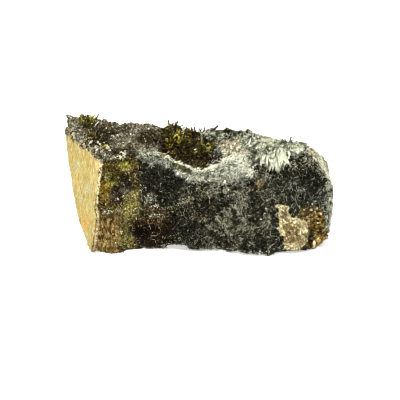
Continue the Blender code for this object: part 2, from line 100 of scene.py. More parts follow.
# Seen ovals of one look each: the X and height of the middle, and the half sizes
SPOTS = {
    "ochre": [(-21.1, 15.3, 1.4, 2.2), (14.8, 17.0, 0.8, 0.9)],
    "lime": [(-20.5, 18.3, 1.0, 1.1), (-17.0, 20.6, 1.4, 1.2), (-20.0, 16.4, 1.0, 0.9)],
    "moss": [(-15.7, 9.6, 2.1, 4.2), (-16.4, 4.0, 2.1, 3.0), (-14.8, 14.2, 1.2, 1.0)],
    "plum": [(-18.9, 14.4, 1.7, 2.4), (-16.6, 17.0, 1.6, 1.8)],
    "brown": [(-11.3, 5.9, 4.0, 5.4)],
    "red": [(-9.6, 8.9, 2.6, 2.2)],
    "umber": [(-10.2, 4.6, 4.8, 3.4)],
    "dark_left": [(-8.5, 17.6, 5.4, 3.2)],
    "dark_felt": [(-7.4, 17.8, 3.6, 2.6), (-4.6, 7.8, 3.8, 3.6), (13.4, 10.4, 1.8, 3.2),
                  (-0.8, 5.8, 3.0, 2.6)],
    "light_felt": [(7.4, 15.6, 4.8, 2.6), (7.4, 8.6, 3.0, 4.2), (10.8, 14.4, 1.6, 2.8), (16.4, 7.6, 1.2, 1.6),
                   (16.2, 18.8, 1.6, 1.2), (-0.5, 12.6, 1.6, 1.4)],
    "olive_felt": [(0.9, 11.2, 2.8, 2.8), (-6.4, 9.4, 1.8, 2.0), (14.6, 17.0, 1.6, 1.4)],
    "black_right": [(24.6, 17.6, 5.4, 5.6), (25.2, 20.8, 3.4, 2.8)],
    "black_core": [(26.3, 18.8, 2.8, 3.2), (24.6, 22.3, 2.6, 1.8), (21.5, 19.6, 2.0, 1.2)],
    "white_mass": [(8.5, 21.4, 3.0, 2.9), (4.6, 20.4, 2.4, 1.6), (11.8, 19.6, 1.2, 1.4)],
    "mat_patches": [(2.4, 30.0, 1.3, 1.0), (12.8, 27.4, 2.2, 1.8)],
    "pink": [(8.7, 26.2, 3.6, 1.6), (15.5, 27.8, 2.0, 1.2)],
    "rear_dark": [(7.6, 29.8, 1.8, 0.9), (12.0, 29.3, 1.6, 0.8)],
    "grey_over": [(2.6, 28.9, 2.6, 1.5)],
    "basin": [(-2.6, 27.4, 6.2, 4.6), (-1.4, 22.9, 5.6, 2.2)],
    # basin_shade: painted shade on the lower wall of the hollow, behind the rim
    "basin_shade": [(-0.8, 23.2, 5.0, 1.8), (-1.4, 25.5, 3.4, 1.2)],
    # top_shade: painted shade on the top, among the spray crystals and along the left rim
    "top_shade": [(-23.6, 29.0, 3.2, 2.4), (-26.0, 31.6, 2.0, 1.8), (-19.7, 30.0, 1.5, 1.1),
                  (-17.0, 30.9, 1.2, 1.0), (-11.6, 28.3, 2.8, 2.0), (-17.4, 24.6, 3.4, 1.4),
                  (-21.5, 26.9, 1.9, 1.3)],
    "corner": [(27.4, 25.2, 1.5, 1.3), (29.6, 22.2, 0.8, 1.8)],
    "pocket": [(26.4, 6.0, 3.7, 4.8), (28.2, 3.2, 2.0, 2.4)],
    # pocket_shade: painted shadow in the pocket, beside the lump
    "pocket_shade": [(26.3, 4.6, 1.2, 1.7), (28.6, 5.3, 0.9, 1.2)],
    "pocket_gold": [(26.2, 8.6, 2.6, 2.4), (28.4, 2.6, 1.2, 1.2)],
    "pocket_wall": [(31.0, 6.4, 1.2, 3.4)],
    "rim_lumps": [(-24.6, 25.6, 3.0, 1.6), (-21.9, 24.5, 1.8, 1.4), (-17.4, 23.5, 0.9, 0.8),
                  (-29.0, 29.4, 1.4, 1.4)],
    "orange": [(-26.5, 6.4, 0.7, 1.5), (-26.9, 9.0, 0.5, 1.2)],
    "pale_spot": [(-25.7, 15.6, 0.9, 1.2), (-28.6, 21.5, 0.7, 1.6), (-27.0, 12.6, 0.6, 1.0)],
    "white_clusters": [(-12.9, 15.9, 0.9, 0.9), (-11.8, 12.8, 1.1, 1.2), (-9.8, 11.4, 0.8, 0.5),
                       (-10.2, 9.0, 1.3, 0.7), (-16.8, 13.8, 0.5, 0.3), (-18.1, 10.1, 0.7, 0.9),
                       (-20.9, 10.0, 1.5, 0.7), (-16.1, 20.3, 0.5, 0.7)],
    "spray_rear": [(-26.3, 32.3, 1.6, 1.6)],
    "spray_middle": [(-23.2, 30.6, 2.2, 1.8)],
    "spray_near": [(-24.0, 28.6, 2.2, 1.6)],
    "green_left": [(-4.2, 27.9, 2.2, 1.8)],
    "green_right": [(1.4, 25.2, 2.4, 1.2)],
}

# Brown stains of the cream lump, and last a painted shadow on its side next to the pocket: the strength of
# each, and its seen oval
STAINS_AND_SHADOW = [(1.0, (21.5, 4.9, 2.0, 2.6)), (0.9, (20.0, 9.6, 0.7, 1.4)), (0.8, (23.4, 3.4, 1.6, 1.8)),
          (1.4, (26.2, 4.4, 1.2, 2.2))]

# Single crystals that stand out: seen foot, seen run, width, tint and warmth
SPRAY_PRISMS = [
    (-25.6, 32.9, 1.2, 1.1, 0.5, 0.95, 0.3), (-27.2, 32.8, -0.1, 1.2, 0.8, 0.35, 0.2),
    (-26.0, 31.5, 1.0, 0.5, 0.5, 0.9, 0.3), (-25.4, 29.4, 1.0, 0.5, 0.5, 0.7, 0.3),
    (-24.0, 29.1, 0.6, 0.6, 0.45, 0.8, 0.4), (-23.2, 29.7, 0.5, 1.0, 0.5, 0.55, 0.5),
    (-22.1, 26.0, 1.2, 0.4, 0.45, 0.85, 0.3),
]
BASIN_PRISMS = [
    (-6.0, 31.2, -0.9, 0.8, 0.5, 0.75, 0.6), (-8.1, 30.3, 0.8, 0.4, 0.45, 0.7, 0.7),
    (-5.8, 28.0, 0.7, 1.0, 0.5, 0.9, 0.1), (-4.3, 28.0, -0.6, 1.1, 0.5, 0.85, 0.1),
    (-3.8, 27.5, -0.6, 1.2, 0.5, 0.75, 0.2), (1.6, 25.4, 1.3, 0.6, 0.5, 0.8, 0.3),
    (1.2, 24.6, 1.3, 0.7, 0.5, 0.75, 0.3), (-0.9, 24.3, 0.8, 0.7, 0.45, 0.7, 0.4),
    (10.9, 26.2, 1.0, -1.5, 0.5, 0.12, 0.5), (11.6, 25.6, 1.0, -1.3, 0.4, 0.12, 0.5),
]
POCKET_PRISMS = [
    (26.9, 1.3, 0.1, 1.7, 0.85, 1.0, 0.6), (28.0, 2.0, 0.4, 1.2, 0.8, 0.7, 0.2),
    (26.3, 8.6, 0.4, 0.7, 0.6, 0.95, 0.6), (27.6, 9.2, -0.5, 1.0, 0.6, 1.0, 0.8),
    (25.2, 7.2, 0.5, 0.8, 0.7, 0.9, 0.8),
]

# Centres that the crystals of the hollow in the top and of the pocket lean away from
BASIN_CENTRES = [(-5.5, 10.0, 18.5), (-1.0, 6.0, 16.5), (3.0, 8.0, 18.0), (0.5, 12.5, 20.0),
                 (-8.0, 13.0, 20.5)]
POCKET_CENTRES = [(27.0, -9.0, 6.0)]

# Clusters of the spray: the seen oval, how many crystals, the centre that they lean away from,
# their lengths, how far they lean, their tints and their warmth
SPRAY_CLUSTERS = [
    ("spray_rear", 46, (-26.6, 11.5, 22.5), (1.0, 2.0), 0.5, (0.15, 0.75), (0.1, 0.5)),
    ("spray_middle", 70, (-23.5, 8.0, 22.0), (0.9, 1.9), 0.6, (0.02, 0.5), (0.5, 1.0)),
    ("spray_near", 70, (-24.0, 3.0, 22.0), (0.9, 1.9), 0.6, (0.02, 0.6), (0.2, 0.9)),
]

# Seen places of single bright grains on the dark felt
SPARKLES = [(15.65, 10.7), (15.4, 9.7), (14.6, 8.5), (7.1, 14.0), (7.2, 15.4), (26.4, 12.1)]

# Kinds of felt: the lengths and widths of the fibres, how far they rise from the surface,
# and how strongly they hang
DARK_FELT = {"lengths": (0.3, 1.0), "widths": (0.07, 0.14), "lift": (0.2, 1.4), "hang": 0.2}
PALE_FELT = {"lengths": (0.3, 1.0), "widths": (0.08, 0.17), "lift": (0.2, 1.3), "hang": 0.2}
WHITE_MAT = {"lengths": (0.4, 1.4), "widths": (0.09, 0.18), "lift": (0.0, 0.6), "hang": 0.35}
ARCS = {"lengths": (0.9, 2.2), "widths": (0.06, 0.11), "lift": (0.1, 0.6), "hang": 0.1}

# Widths of the fine fibres and of the strands in tufts, and how many strands a combed lock has
FINE = (0.08, 0.14)
STRAND = (0.12, 0.2)
LOCK_STRANDS = 5

# How far the locks sway, and how much darker a tuft or a strand is at its foot, as painted shade among the
# roots
LOCK_SWAY = 0.12
STRAND_FOOT_SHADE = 0.2

# Widths of the epidote crystals in the spray and in the hollow of the top
SPRAY_WIDTHS = (0.35, 0.6)
BASIN_WIDTHS = (0.3, 0.6)

# Ways that tufts and locks are pulled over the surface
DOWN_TOP = (0.0, -0.6, -0.8)
DOWN_FOOT = (0.0, -0.5, -0.85)
ALONG_RIM = (0.9, -0.1, -0.4)
DOWN_RIDGE = (0.3, -0.5, -0.8)
ROUND_CORNER = (0.6, -0.3, -0.7)
OVER_RIM = (0.0, -1.0, -0.7)

# Shares of the length at which the points of a felt fibre, of a tuft's and of a long strand lie
FELT_LEVELS = (0.0, 0.4, 1.0)
TUFT_LEVELS = (0.0, 0.3, 0.7, 1.0)
STRAND_LEVELS = (0.0, 0.15, 0.35, 0.55, 0.78, 1.0)

# Camera: where it looks, how far above the level it stands, and its lens
CAMERA_TARGET = (0.5, 0.6, 8.1)
CAMERA_ELEVATION = 18.0
CAMERA_DISTANCE = 859.0
CAMERA_LENS = 329.04

# Lights: place and size in metres, power in watts, and colour
LIGHTS = {
    "key_light": ((-0.22, -0.45, 0.72), 0.3, 17.0, (1.0, 0.97, 0.88)),
    "fill_light": ((0.6, -0.35, 0.35), 0.5, 2.4, (1.0, 0.98, 0.92)),
    "back_light": ((0.1, 0.6, 0.5), 0.6, 5.0, (1.0, 0.99, 0.96)),
}
# Strength of the white surroundings as light and as seen, and the glow of the floor
SURROUNDINGS = (0.28, 1.0)
FLOOR_GLOW = 0.62


# Numbers and noise on arrays of points


def ease(low, high, values):
    share = np.clip((values - low) / (high - low), 0.0, 1.0)
    return share * share * (3.0 - 2.0 * share)


def between(low, high, edge, values):
    """1 between two limits, fading to 0 outside them."""
    return ease(low - edge, low + edge, values) * (1.0 - ease(high - edge, high + edge, values))


def unit(vectors):
    return vectors / np.maximum(np.linalg.norm(vectors, axis=-1, keepdims=True), 1e-9)


def along(vectors, directions):
    return (vectors * directions).sum(axis=-1, keepdims=True)


def noise_at(points, size, shift=0.0):
    """Smooth noise, about -1 to 1, with lumps of that size."""
    places = (points / np.array(size) + shift).tolist()
    return 1.4 * np.array([noise.noise(place) for place in places])


def chips_at(points, size, shift=0.0):
    """Tilted flat chips with small steps between them, about -1 to 1."""
    heights = []
    for place in (points / np.array(size) + shift).tolist():
        centre = noise.voronoi(place)[1][0]
        lean = noise.noise_vector(centre * 7.3)
        heights.append(1.4 * lean.dot(Vector(place) - centre) + 1.2 * noise.noise(centre * 5.1))
    return np.array(heights)


def seen_places(points):
    return np.stack([points[:, 0], points[:, 2] + SEEN_SLOPE * (points[:, 1] - SEEN_START)], axis=1)


def in_oval(places, oval, grow=1.0, core=0.7):
    """1 inside a seen oval, fading to 0 round its edge."""
    middle, half = np.array(oval).reshape(2, 2)
    return 1.0 - ease(core, 1.3, np.hypot(*((places - middle) / (half * grow)).T))


def in_spots(places, name, grow=1.0):
    """The same for all the seen ovals of that name."""
    return np.max([in_oval(places, oval, grow) for oval in SPOTS[name]], axis=0)


def dark_specks(points):
    """1 in the small dark gaps of the white mat."""
    return ease(0.1, 0.4, noise_at(points, 0.85, 49.0))


def over_line(places, line):
    """Seen height over a seen line at the same X."""
    return places[:, 1] - np.interp(places[:, 0], *line)


# Kinds of ground on the rock, as shares from 0 to 1 at each point


def ground_shares(points, normals):
    """Shares of all the kinds of ground, and of the front and the top."""
    wander = np.stack([noise_at(points, 2.4, shift) for shift in (11.0, 37.0)], axis=1)
    places = seen_places(points)
    moved = places + 0.7 * wander
    spots = {name: in_spots(moved, name) for name in SPOTS}
    x, height = moved.T
    base_x, slope_y, slope_z = CLEAVED_FACE
    behind = points[:, 0] - (base_x + slope_y * points[:, 1] + slope_z * points[:, 2])
    flat_face = (1.0 - ease(0.3, 0.6, behind)) * ease(0.3, 0.6, -normals[:, 0])
    crest = flat_face * ease(-0.3, 0.3, over_line(moved, FACE_TOP))
    cleaved = flat_face - crest
    open_ground = 1.0 - cleaved
    hollow_wall = ease(-8.5, -7.0, points[:, 1]) * ease(0.1, 0.3, -normals[:, 1])
    top = np.maximum(ease(0.35, 0.7, normals[:, 2]), hollow_wall) * ease(12.0, 14.0, points[:, 2])
    top = np.maximum(top, crest)
    front = ease(0.2, 0.5, -normals[:, 1]) * (1.0 - top)
    shown = open_ground * np.clip(front + top, 0.0, 1.0)
    left = 1.0 - ease(-15.5, -12.5, x)
    tan = left * (1.0 - ease(-18.6, -15.6, x)) * (1.0 - ease(8.8, 10.0, height))
    ridges = between(-0.5, 0.2, 0.3, over_line(moved, RIM))
    ridges = ridges + between(-1.3, 0.3, 0.6, over_line(moved, LOWER_RIDGE))
    comb = ease(0.6, 2.4, over_line(moved, FRINGE_TIPS)) * between(11.5, 27.5, 1.0, x)
    white = ridges * between(-13.2, 5.0, 1.0, x) + spots["white_mass"] + 0.8 * comb
    white = white * (0.75 + 0.5 * noise_at(points, 0.9, 61.0)) * (1.0 - 0.8 * dark_specks(points))
    pocket = in_spots(places, "pocket") * (1.0 - in_spots(places, "pocket_wall"))
    rear = np.clip(1.0 - front - top, 0.0, 1.0) * ease(-28.5, -26.0, x) * ease(-10.0, -8.0, points[:, 1])
    patches = noise_at(points, 5.0, 23.0)
    shares = {name: front * spots[name] for name in ("moss", "umber", "red", "ochre", "lime", "plum")}
    shares.update({
        "tan": front * tan,
        "olive": front * left * (1.0 - tan) * (1.0 - ease(25.0, 26.5, height)),
        "brown": front * spots["brown"] + 0.7 * rear * ease(0.1, 0.4, -patches),
        "mauve": top * (1.0 - ease(-11.0, -7.5, x)) + 0.9 * rear * ease(0.0, 0.3, patches),
        "basin": top * spots["basin"] * (1.0 - 0.9 * spots["grey_over"]),
        "white": shown * white,
        "cream": shown * np.clip(spots["pink"] + spots["corner"], 0.0, 1.0),
        "amber": front * pocket,
        # painted shade: dark ground among the spray crystals, between the rim lumps and in the pocket
        "shade": top * spots["top_shade"] + 0.8 * shown * spots["rim_lumps"]
                 + front * in_spots(places, "pocket_shade"),
    })
    shares = {name: np.clip(open_ground * share, 0.0, 1.0) for name, share in shares.items()}
    shares["cleaved"] = cleaved
    shares["orange"] = 0.7 * cleaved * spots["orange"]
    shares["pale_spot"] = cleaved * spots["pale_spot"]
    edge = between(0.2, 0.8, 0.15, behind + 0.15 * wander[:, 0]) * (1.0 - top)
    shares["edge"] = edge * (0.4 + 0.6 * ease(9.0, 10.0, height))
    return shares, open_ground * front, open_ground * top


# Meshes from arrays


def point_vectors(mesh, key):
    flat = np.empty(3 * len(mesh.vertices), np.float32)
    mesh.vertices.foreach_get(key, flat)
    return flat.reshape(-1, 3).astype(float)


def coordinates(mesh):
    return point_vectors(mesh, "co") / MM


def set_coordinates(mesh, points):
    mesh.vertices.foreach_set("co", (points * MM).astype(np.float32).ravel())
    mesh.update()


def inside_box(points):
    """Points held inside the box of the solids and on or over the floor."""
    low, high = np.array(cad_box) / MM
    return np.clip(points, low + BOX_MARGIN, high - BOX_MARGIN)


def add_values(mesh, name, values):
    layer = mesh.attributes.new(name, 'FLOAT', 'POINT')
    layer.data.foreach_set("value", np.asarray(values, np.float32))


def add_object(name, data):
    thing = bpy.data.objects.new(name, data)
    bpy.context.scene.collection.objects.link(thing)
    return thing


def new_piece(name, mesh, material):
    piece = add_object(name, mesh)
    mesh.materials.clear()
    mesh.materials.append(material)
    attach(piece, "root")
    return piece


def add_map(mesh, spots):
    layer = mesh.uv_layers.new(name="OFBake")
    layer.data.foreach_set("uv", spots.astype(np.float32).ravel())


def map_faces_in_cells(mesh):
    """A flat map in which each face has a small cell of its own."""
    cells = math.ceil(math.sqrt(len(mesh.polygons)))
    spots = np.empty((len(mesh.loops), 2), np.float32)
    for face in mesh.polygons:
        row, column = divmod(face.index, cells)
        for step, loop in enumerate(face.loop_indices):
            turn = 2.0 * math.pi * step / face.loop_total
            spots[loop] = (column + 0.5 + 0.42 * math.cos(turn), row + 0.5 + 0.42 * math.sin(turn))
    add_map(mesh, spots / cells)


def map_on_cube(mesh, points):
    """A flat map of a blocky body as the six sides of a cube round it, in three columns."""
    low, high = points.min(axis=0), points.max(axis=0)
    ways = (points - (low + high) / 2.0) / ((high - low) / 2.0)
    spots = np.empty((len(mesh.loops), 2), np.float32)
    for face in mesh.polygons:
        corners = ways[list(face.vertices)]
        middle = corners.mean(axis=0)
        axis = int(np.abs(middle).argmax())
        across, upward = [other for other in range(3) if other != axis]
        flat = corners[:, (across, upward)] / np.maximum(np.abs(corners[:, axis:axis + 1]), 0.3)
        flat = 0.5 + 0.46 * np.clip(flat, -1.06, 1.06)
        row = 0 if middle[axis] < 0.0 else 1
        first = face.loop_start
        spots[first:first + face.loop_total] = (flat + (axis, row)) / (3.0, 2.0)
    add_map(mesh, spots)


# Places and directions


class Ground:
    """A surface to scatter things on: its points, seen places and ovals, normals, shares and clumps."""

    def __init__(self, mesh, normals, shares=None, front=None, top=None):
        mesh.calc_loop_triangles()
        corners = np.empty(3 * len(mesh.loop_triangles), np.int32)
        mesh.loop_triangles.foreach_get("vertices", corners)
        self.points = coordinates(mesh)
        self.places = seen_places(self.points)
        self.spots = {name: in_spots(self.places, name) for name in SPOTS}
        self.clumps = clumps_at(self.points)
        self.normals = normals
        self.shares = shares
        self.front = front
        self.top = top
        self.triangles = corners.reshape(-1, 3)
        self.tree = kdtree.KDTree(len(self.points))
        for index, place in enumerate(self.points.tolist()):
            self.tree.insert(place, index)
        self.tree.balance()
        first, second, third = (self.points[self.triangles[:, corner]] for corner in range(3))
        self.areas = np.linalg.norm(np.cross(second - first, third - first), axis=1) / 2.0

    def scatter(self, rng, count, density):
        """Random places, their normals, and the mesh point next to each."""
        weights = self.areas * np.clip(density, 0.0, None)[self.triangles].mean(axis=1)
        picked = self.triangles[rng.choice(len(weights), size=count, p=weights / weights.sum())]
        shares = rng.dirichlet((1.0, 1.0, 1.0), count)[:, :, None]
        places = (self.points[picked] * shares).sum(axis=1)
        return places, unit((self.normals[picked] * shares).sum(axis=1)), picked[:, 0]

    def roots(self, rng, count, density):
        """Random places and their normals."""
        return self.scatter(rng, count, density)[:2]

    def below(self, places):
        """The mesh point next to each place."""
        return np.array([self.tree.find(place)[1] for place in places.tolist()])

    def nearest(self, place, side):
        """The mesh point next to a seen place, on the front or on the top."""
        gaps = np.hypot(*(self.places - np.array(place)).T)
        return int((gaps + 100.0 * (side < 0.3)).argmin())

    def roots_on_line(self, rng, count, line, start, end, side, spread=0.12):
        """Random places close to a seen line between two X, and their normals."""
        x = rng.uniform(start, end, count)
        heights = np.interp(x, *line) + rng.normal(scale=spread, size=count)
        near = [self.nearest(place, side) for place in zip(x, heights)]
        return self.points[near], self.normals[near]


def combed(normals, pull):
    """Direction along the surface that is nearest to a pull."""
    return unit(pull - normals * along(np.broadcast_to(pull, normals.shape), normals))


def tumbled(rng, normals, lift):
    """Random directions along the surface, raised from it by a share of the normal."""
    random_way = rng.normal(size=normals.shape)
    flat = unit(random_way - normals * along(random_way, normals))
    return unit(flat + normals * np.reshape(lift, (-1, 1)))


def turns_along(directions, twists):
    """Rotations that send +Z along each direction, after a twist about it."""
    helper = np.where(np.abs(directions[:, 2:]) < 0.9, UP, np.array((1.0, 0.0, 0.0)))
    first = unit(np.cross(helper, directions))
    second = np.cross(directions, first)
    cosine, sine = np.cos(twists)[:, None], np.sin(twists)[:, None]
    return np.stack([first * cosine + second * sine, second * cosine - first * sine, directions], axis=2)


# Fibres: closed three-sided needles, joined in one mesh


def bent_paths(feet, ways, lengths, bends, levels):
    """Points along bent fibres. bends holds the sideways shift of the middle of each."""
    share = np.array(levels)[None, :, None]
    runs = (ways * lengths[:, None])[:, None]
    return feet[:, None] + runs * share + bends[:, None] * (4.0 * share * (1.0 - share))


def draped_paths(ground, lean, normals, roots, lengths):
    """Points along strands that hang over the rim from their roots and stay outside the ground."""
    here = roots
    path = [roots - FIBRE_ROOT * normals]
    for low, high in zip(STRAND_LEVELS, STRAND_LEVELS[1:]):
        way = unit(combed(normals, np.array(OVER_RIM)) + lean + 0.14 * normals)
        here = here + way * (lengths * (high - low))[:, None]
        near = ground.below(here)
        normals = ground.normals[near]
        depth = along(here - ground.points[near], normals)
        here = here + normals * np.clip(0.15 - depth, 0.0, None)
        path.append(here)
    return np.stack(path, axis=1)


def fibre_mesh(name, paths, levels, widths, tints, warmth, foot_shade=0.6):
    """Fibres along paths, pointed at both ends. A tint darkens towards the foot by that share: painted shade
    among the roots.
    """
    count, rings = len(paths), len(levels) - 2
    ways = unit(paths[:, -1] - paths[:, 0])
    side = unit(np.cross(ways, np.array((0.37, 0.61, 0.70))))
    other = np.cross(ways, side)
    half = (widths / 2.0)[:, None]
    rows = [paths[:, 0]]
    for ring in range(rings):
        for corner in range(3):
            turn = 2.0 * math.pi * corner / 3.0
            rows.append(paths[:, ring + 1] + half * (math.cos(turn) * side + math.sin(turn) * other))
    rows.append(paths[:, -1])
    heights = [levels[0], *np.repeat(levels[1:-1], 3), levels[-1]]
    tip = len(rows) - 1
    pattern = []
    for corner in range(3):
        after = (corner + 1) % 3
        pattern.append((0, 1 + after, 1 + corner))
        for ring in range(rings - 1):
            low, high = 1 + 3 * ring, 4 + 3 * ring
            pattern.append((low + corner, low + after, high + after))
            pattern.append((low + corner, high + after, high + corner))
        pattern.append((tip - 3 + corner, tip - 3 + after, tip))
    points = np.stack(rows, axis=1)
    faces = np.array(pattern)[None] + (np.arange(count) * len(rows))[:, None, None]
    mesh = bpy.data.meshes.new(name)
    mesh.from_pydata((inside_box(points.reshape(-1, 3)) * MM).tolist(), [], faces.reshape(-1, 3).tolist())
    # painted shade: each fibre darker towards its foot
    shade = 1.0 - foot_shade * (1.0 - np.array(heights))
    add_values(mesh, "tint", (tints[:, None] * shade[None]).ravel())
    add_values(mesh, "warmth", np.repeat(warmth, len(rows)))
    map_fibres(mesh, pattern, heights, count)
    return mesh


def map_fibres(mesh, pattern, levels, count):
    """A flat map in which each fibre has a small cell of its own, foot to tip along it."""
    cells = math.ceil(math.sqrt(count))
    spots = []
    for face in pattern:
        for corner in face:
            spots.append((0.15 + 0.7 * levels[corner], 0.2 + 0.3 * (corner % 3)))
    column, row = np.arange(count) % cells, np.arange(count) // cells
    corners = np.array(spots)[None] + np.stack([column, row], axis=1)[:, None]
    add_map(mesh, corners / cells)


# Crystals and grains: small closed shapes, joined in one mesh


def shape_from(bm):
    bmesh.ops.recalc_face_normals(bm, faces=bm.faces)
    bm.verts.index_update()
    points = np.array([vert.co[:] for vert in bm.verts])
    faces = [[vert.index for vert in face.verts] for face in bm.faces]
    bm.free()
    return points, faces


def in_fixed_order(points, faces):
    """The same shape with its points and faces in an order that is the same in each run."""
    order = sorted(range(len(points)), key=lambda index: tuple(points[index]))
    rings = []
    for face in faces:
        ring = [order.index(corner) for corner in face]
        start = ring.index(min(ring))
        rings.append(ring[start:] + ring[:start])
    return points[order], sorted(rings)


def prism_shape(flatness, roof_share, roof_width, slant):
    """A six-sided prism from Z 0 to 1 with a chisel roof, one wide at its middle."""
    bm = bmesh.new()
    bmesh.ops.create_cone(bm, cap_ends=True, segments=6, radius1=0.46, radius2=0.5, depth=1.0 - roof_share)
    cap = max(bm.faces, key=lambda face: face.calc_center_median().z)
    roof = bmesh.ops.extrude_face_region(bm, geom=[cap])
    for vert in [item for item in roof["geom"] if isinstance(item, bmesh.types.BMVert)]:
        vert.co.x *= roof_width
        vert.co.y *= 0.75
        vert.co.z += roof_share * (1.0 + slant * vert.co.y)
    bmesh.ops.delete(bm, geom=[cap], context='FACES_ONLY')
    bmesh.ops.scale(bm, verts=bm.verts, vec=(flatness, 1.0, 1.0))
    bmesh.ops.translate(bm, verts=bm.verts, vec=(0.0, 0.0, (1.0 - roof_share) / 2.0))
    return in_fixed_order(*shape_from(bm))


def chunk_shape(rng, corners):
    """A small angular grain: the hull of random points on a ball one across."""
    bm = bmesh.new()
    for way in unit(rng.normal(size=(corners, 3))):
        bm.verts.new(0.5 * way)
    hull = bmesh.ops.convex_hull(bm, input=bm.verts)
    loose = [item for item in hull["geom_interior"] if isinstance(item, bmesh.types.BMVert)]
    bmesh.ops.delete(bm, geom=loose, context='VERTS')
    return shape_from(bm)


def copies_mesh(name, rng, shapes, places, turns, sizes, tints, warmth, foot_shade=0.0):
    """Copies of a few shapes. A tint darkens towards the foot of each copy by that share: painted shade at
    the feet of the crystals.
    """
    points, faces, shades, hues = [], [], [], []
    for place, turn, size, tint, warm in zip(places, turns, sizes, tints, warmth):
        corners, rings = shapes[rng.integers(len(shapes))]
        first = len(shades)
        points.extend(((corners * size) @ turn.T + place).tolist())
        faces.extend([[first + corner for corner in ring] for ring in rings])
        shades.extend((tint * (1.0 - foot_shade * (1.0 - np.clip(corners[:, 2], 0.0, 1.0)))).tolist())
        hues.extend([warm] * len(corners))
    mesh = bpy.data.meshes.new(name)
    mesh.from_pydata((inside_box(np.array(points)) * MM).tolist(), [], faces)
    add_values(mesh, "tint", shades)
    add_values(mesh, "warmth", hues)
    map_faces_in_cells(mesh)
    return mesh


# Materials


def add_node(tree, kind, inputs=None, **settings):
    node = tree.nodes.new(kind)
    for name, value in settings.items():
        setattr(node, name, value)
    for key, value in (inputs or {}).items():
        if isinstance(value, bpy.types.NodeSocket):
            tree.links.new(value, node.inputs[key])
        else:
            node.inputs[key].default_value = value
    return node


def new_material(name, roughness, **values):
    """A material, its node tree, its shader and places in millimetres."""
    material = bpy.data.materials.new(name)
    material.use_nodes = True
    tree = material.node_tree
    shader = tree.nodes["Principled BSDF"]
    shader.inputs["Roughness"].default_value = roughness
    for key, value in values.items():
        shader.inputs[key.replace("_", " ")].default_value = value
    where = add_node(tree, 'ShaderNodeTexCoord').outputs["Object"]
    scaled = add_node(tree, 'ShaderNodeVectorMath', {0: where, 1: (1.0 / MM,) * 3}, operation='MULTIPLY')
    return material, tree, shader, scaled.outputs[0]


def stretched(tree, where, factors):
    return add_node(tree, 'ShaderNodeVectorMath', {0: where, 1: factors}, operation='MULTIPLY').outputs[0]


def cloud(tree, where, size, detail=3.0, rough=0.6):
    """Noise from 0 to 1 with lumps of that size."""
    inputs = {"Vector": where, "Scale": 1.0 / size, "Detail": detail, "Roughness": rough}
    return add_node(tree, 'ShaderNodeTexNoise', inputs).outputs["Fac"]


def cells(tree, where, size):
    """Distance to the nearest of random points, with cells of that size."""
    return add_node(tree, 'ShaderNodeTexVoronoi', {"Vector": where, "Scale": 1.0 / size}).outputs["Distance"]


def ramp(tree, share, stops):
    """Colours between stops, each a place from 0 to 1 and a colour."""
    node = add_node(tree, 'ShaderNodeValToRGB', {"Fac": share})
    points = node.color_ramp.elements
    while len(points) < len(stops):
        points.new(0.5)
    for point, (place, *colour) in zip(points, stops):
        point.position = place
        point.color = (*colour, 1.0)
    return node.outputs["Color"]


def steps(tree, value, low, high):
    inputs = {"Value": value, "From Min": low, "From Max": high}
    return add_node(tree, 'ShaderNodeMapRange', inputs, clamp=True).outputs["Result"]


def times(tree, first, second):
    return add_node(tree, 'ShaderNodeMath', {0: first, 1: second}, operation='MULTIPLY').outputs[0]


def plus(tree, first, second):
    return add_node(tree, 'ShaderNodeMath', {0: first, 1: second}, operation='ADD').outputs[0]


def layered(tree, share, low, high):
    """The high colour over the low one by that share."""
    node = add_node(tree, 'ShaderNodeMix', data_type='RGBA')
    for socket, value in zip((node.inputs[0], node.inputs[6], node.inputs[7]), (share, low, high)):
        if isinstance(value, bpy.types.NodeSocket):
            tree.links.new(value, socket)
        else:
            socket.default_value = (*value, 1.0) if isinstance(value, tuple) else value
    return node.outputs[2]


def share_of(tree, name):
    return add_node(tree, 'ShaderNodeAttribute', attribute_name=name).outputs["Fac"]


def add_bump(tree, shader, height):
    bump = add_node(tree, 'ShaderNodeBump', {"Height": height, "Distance": BUMP_DEPTH * MM, "Strength": 1.0})
    tree.links.new(bump.outputs["Normal"], shader.inputs["Normal"])


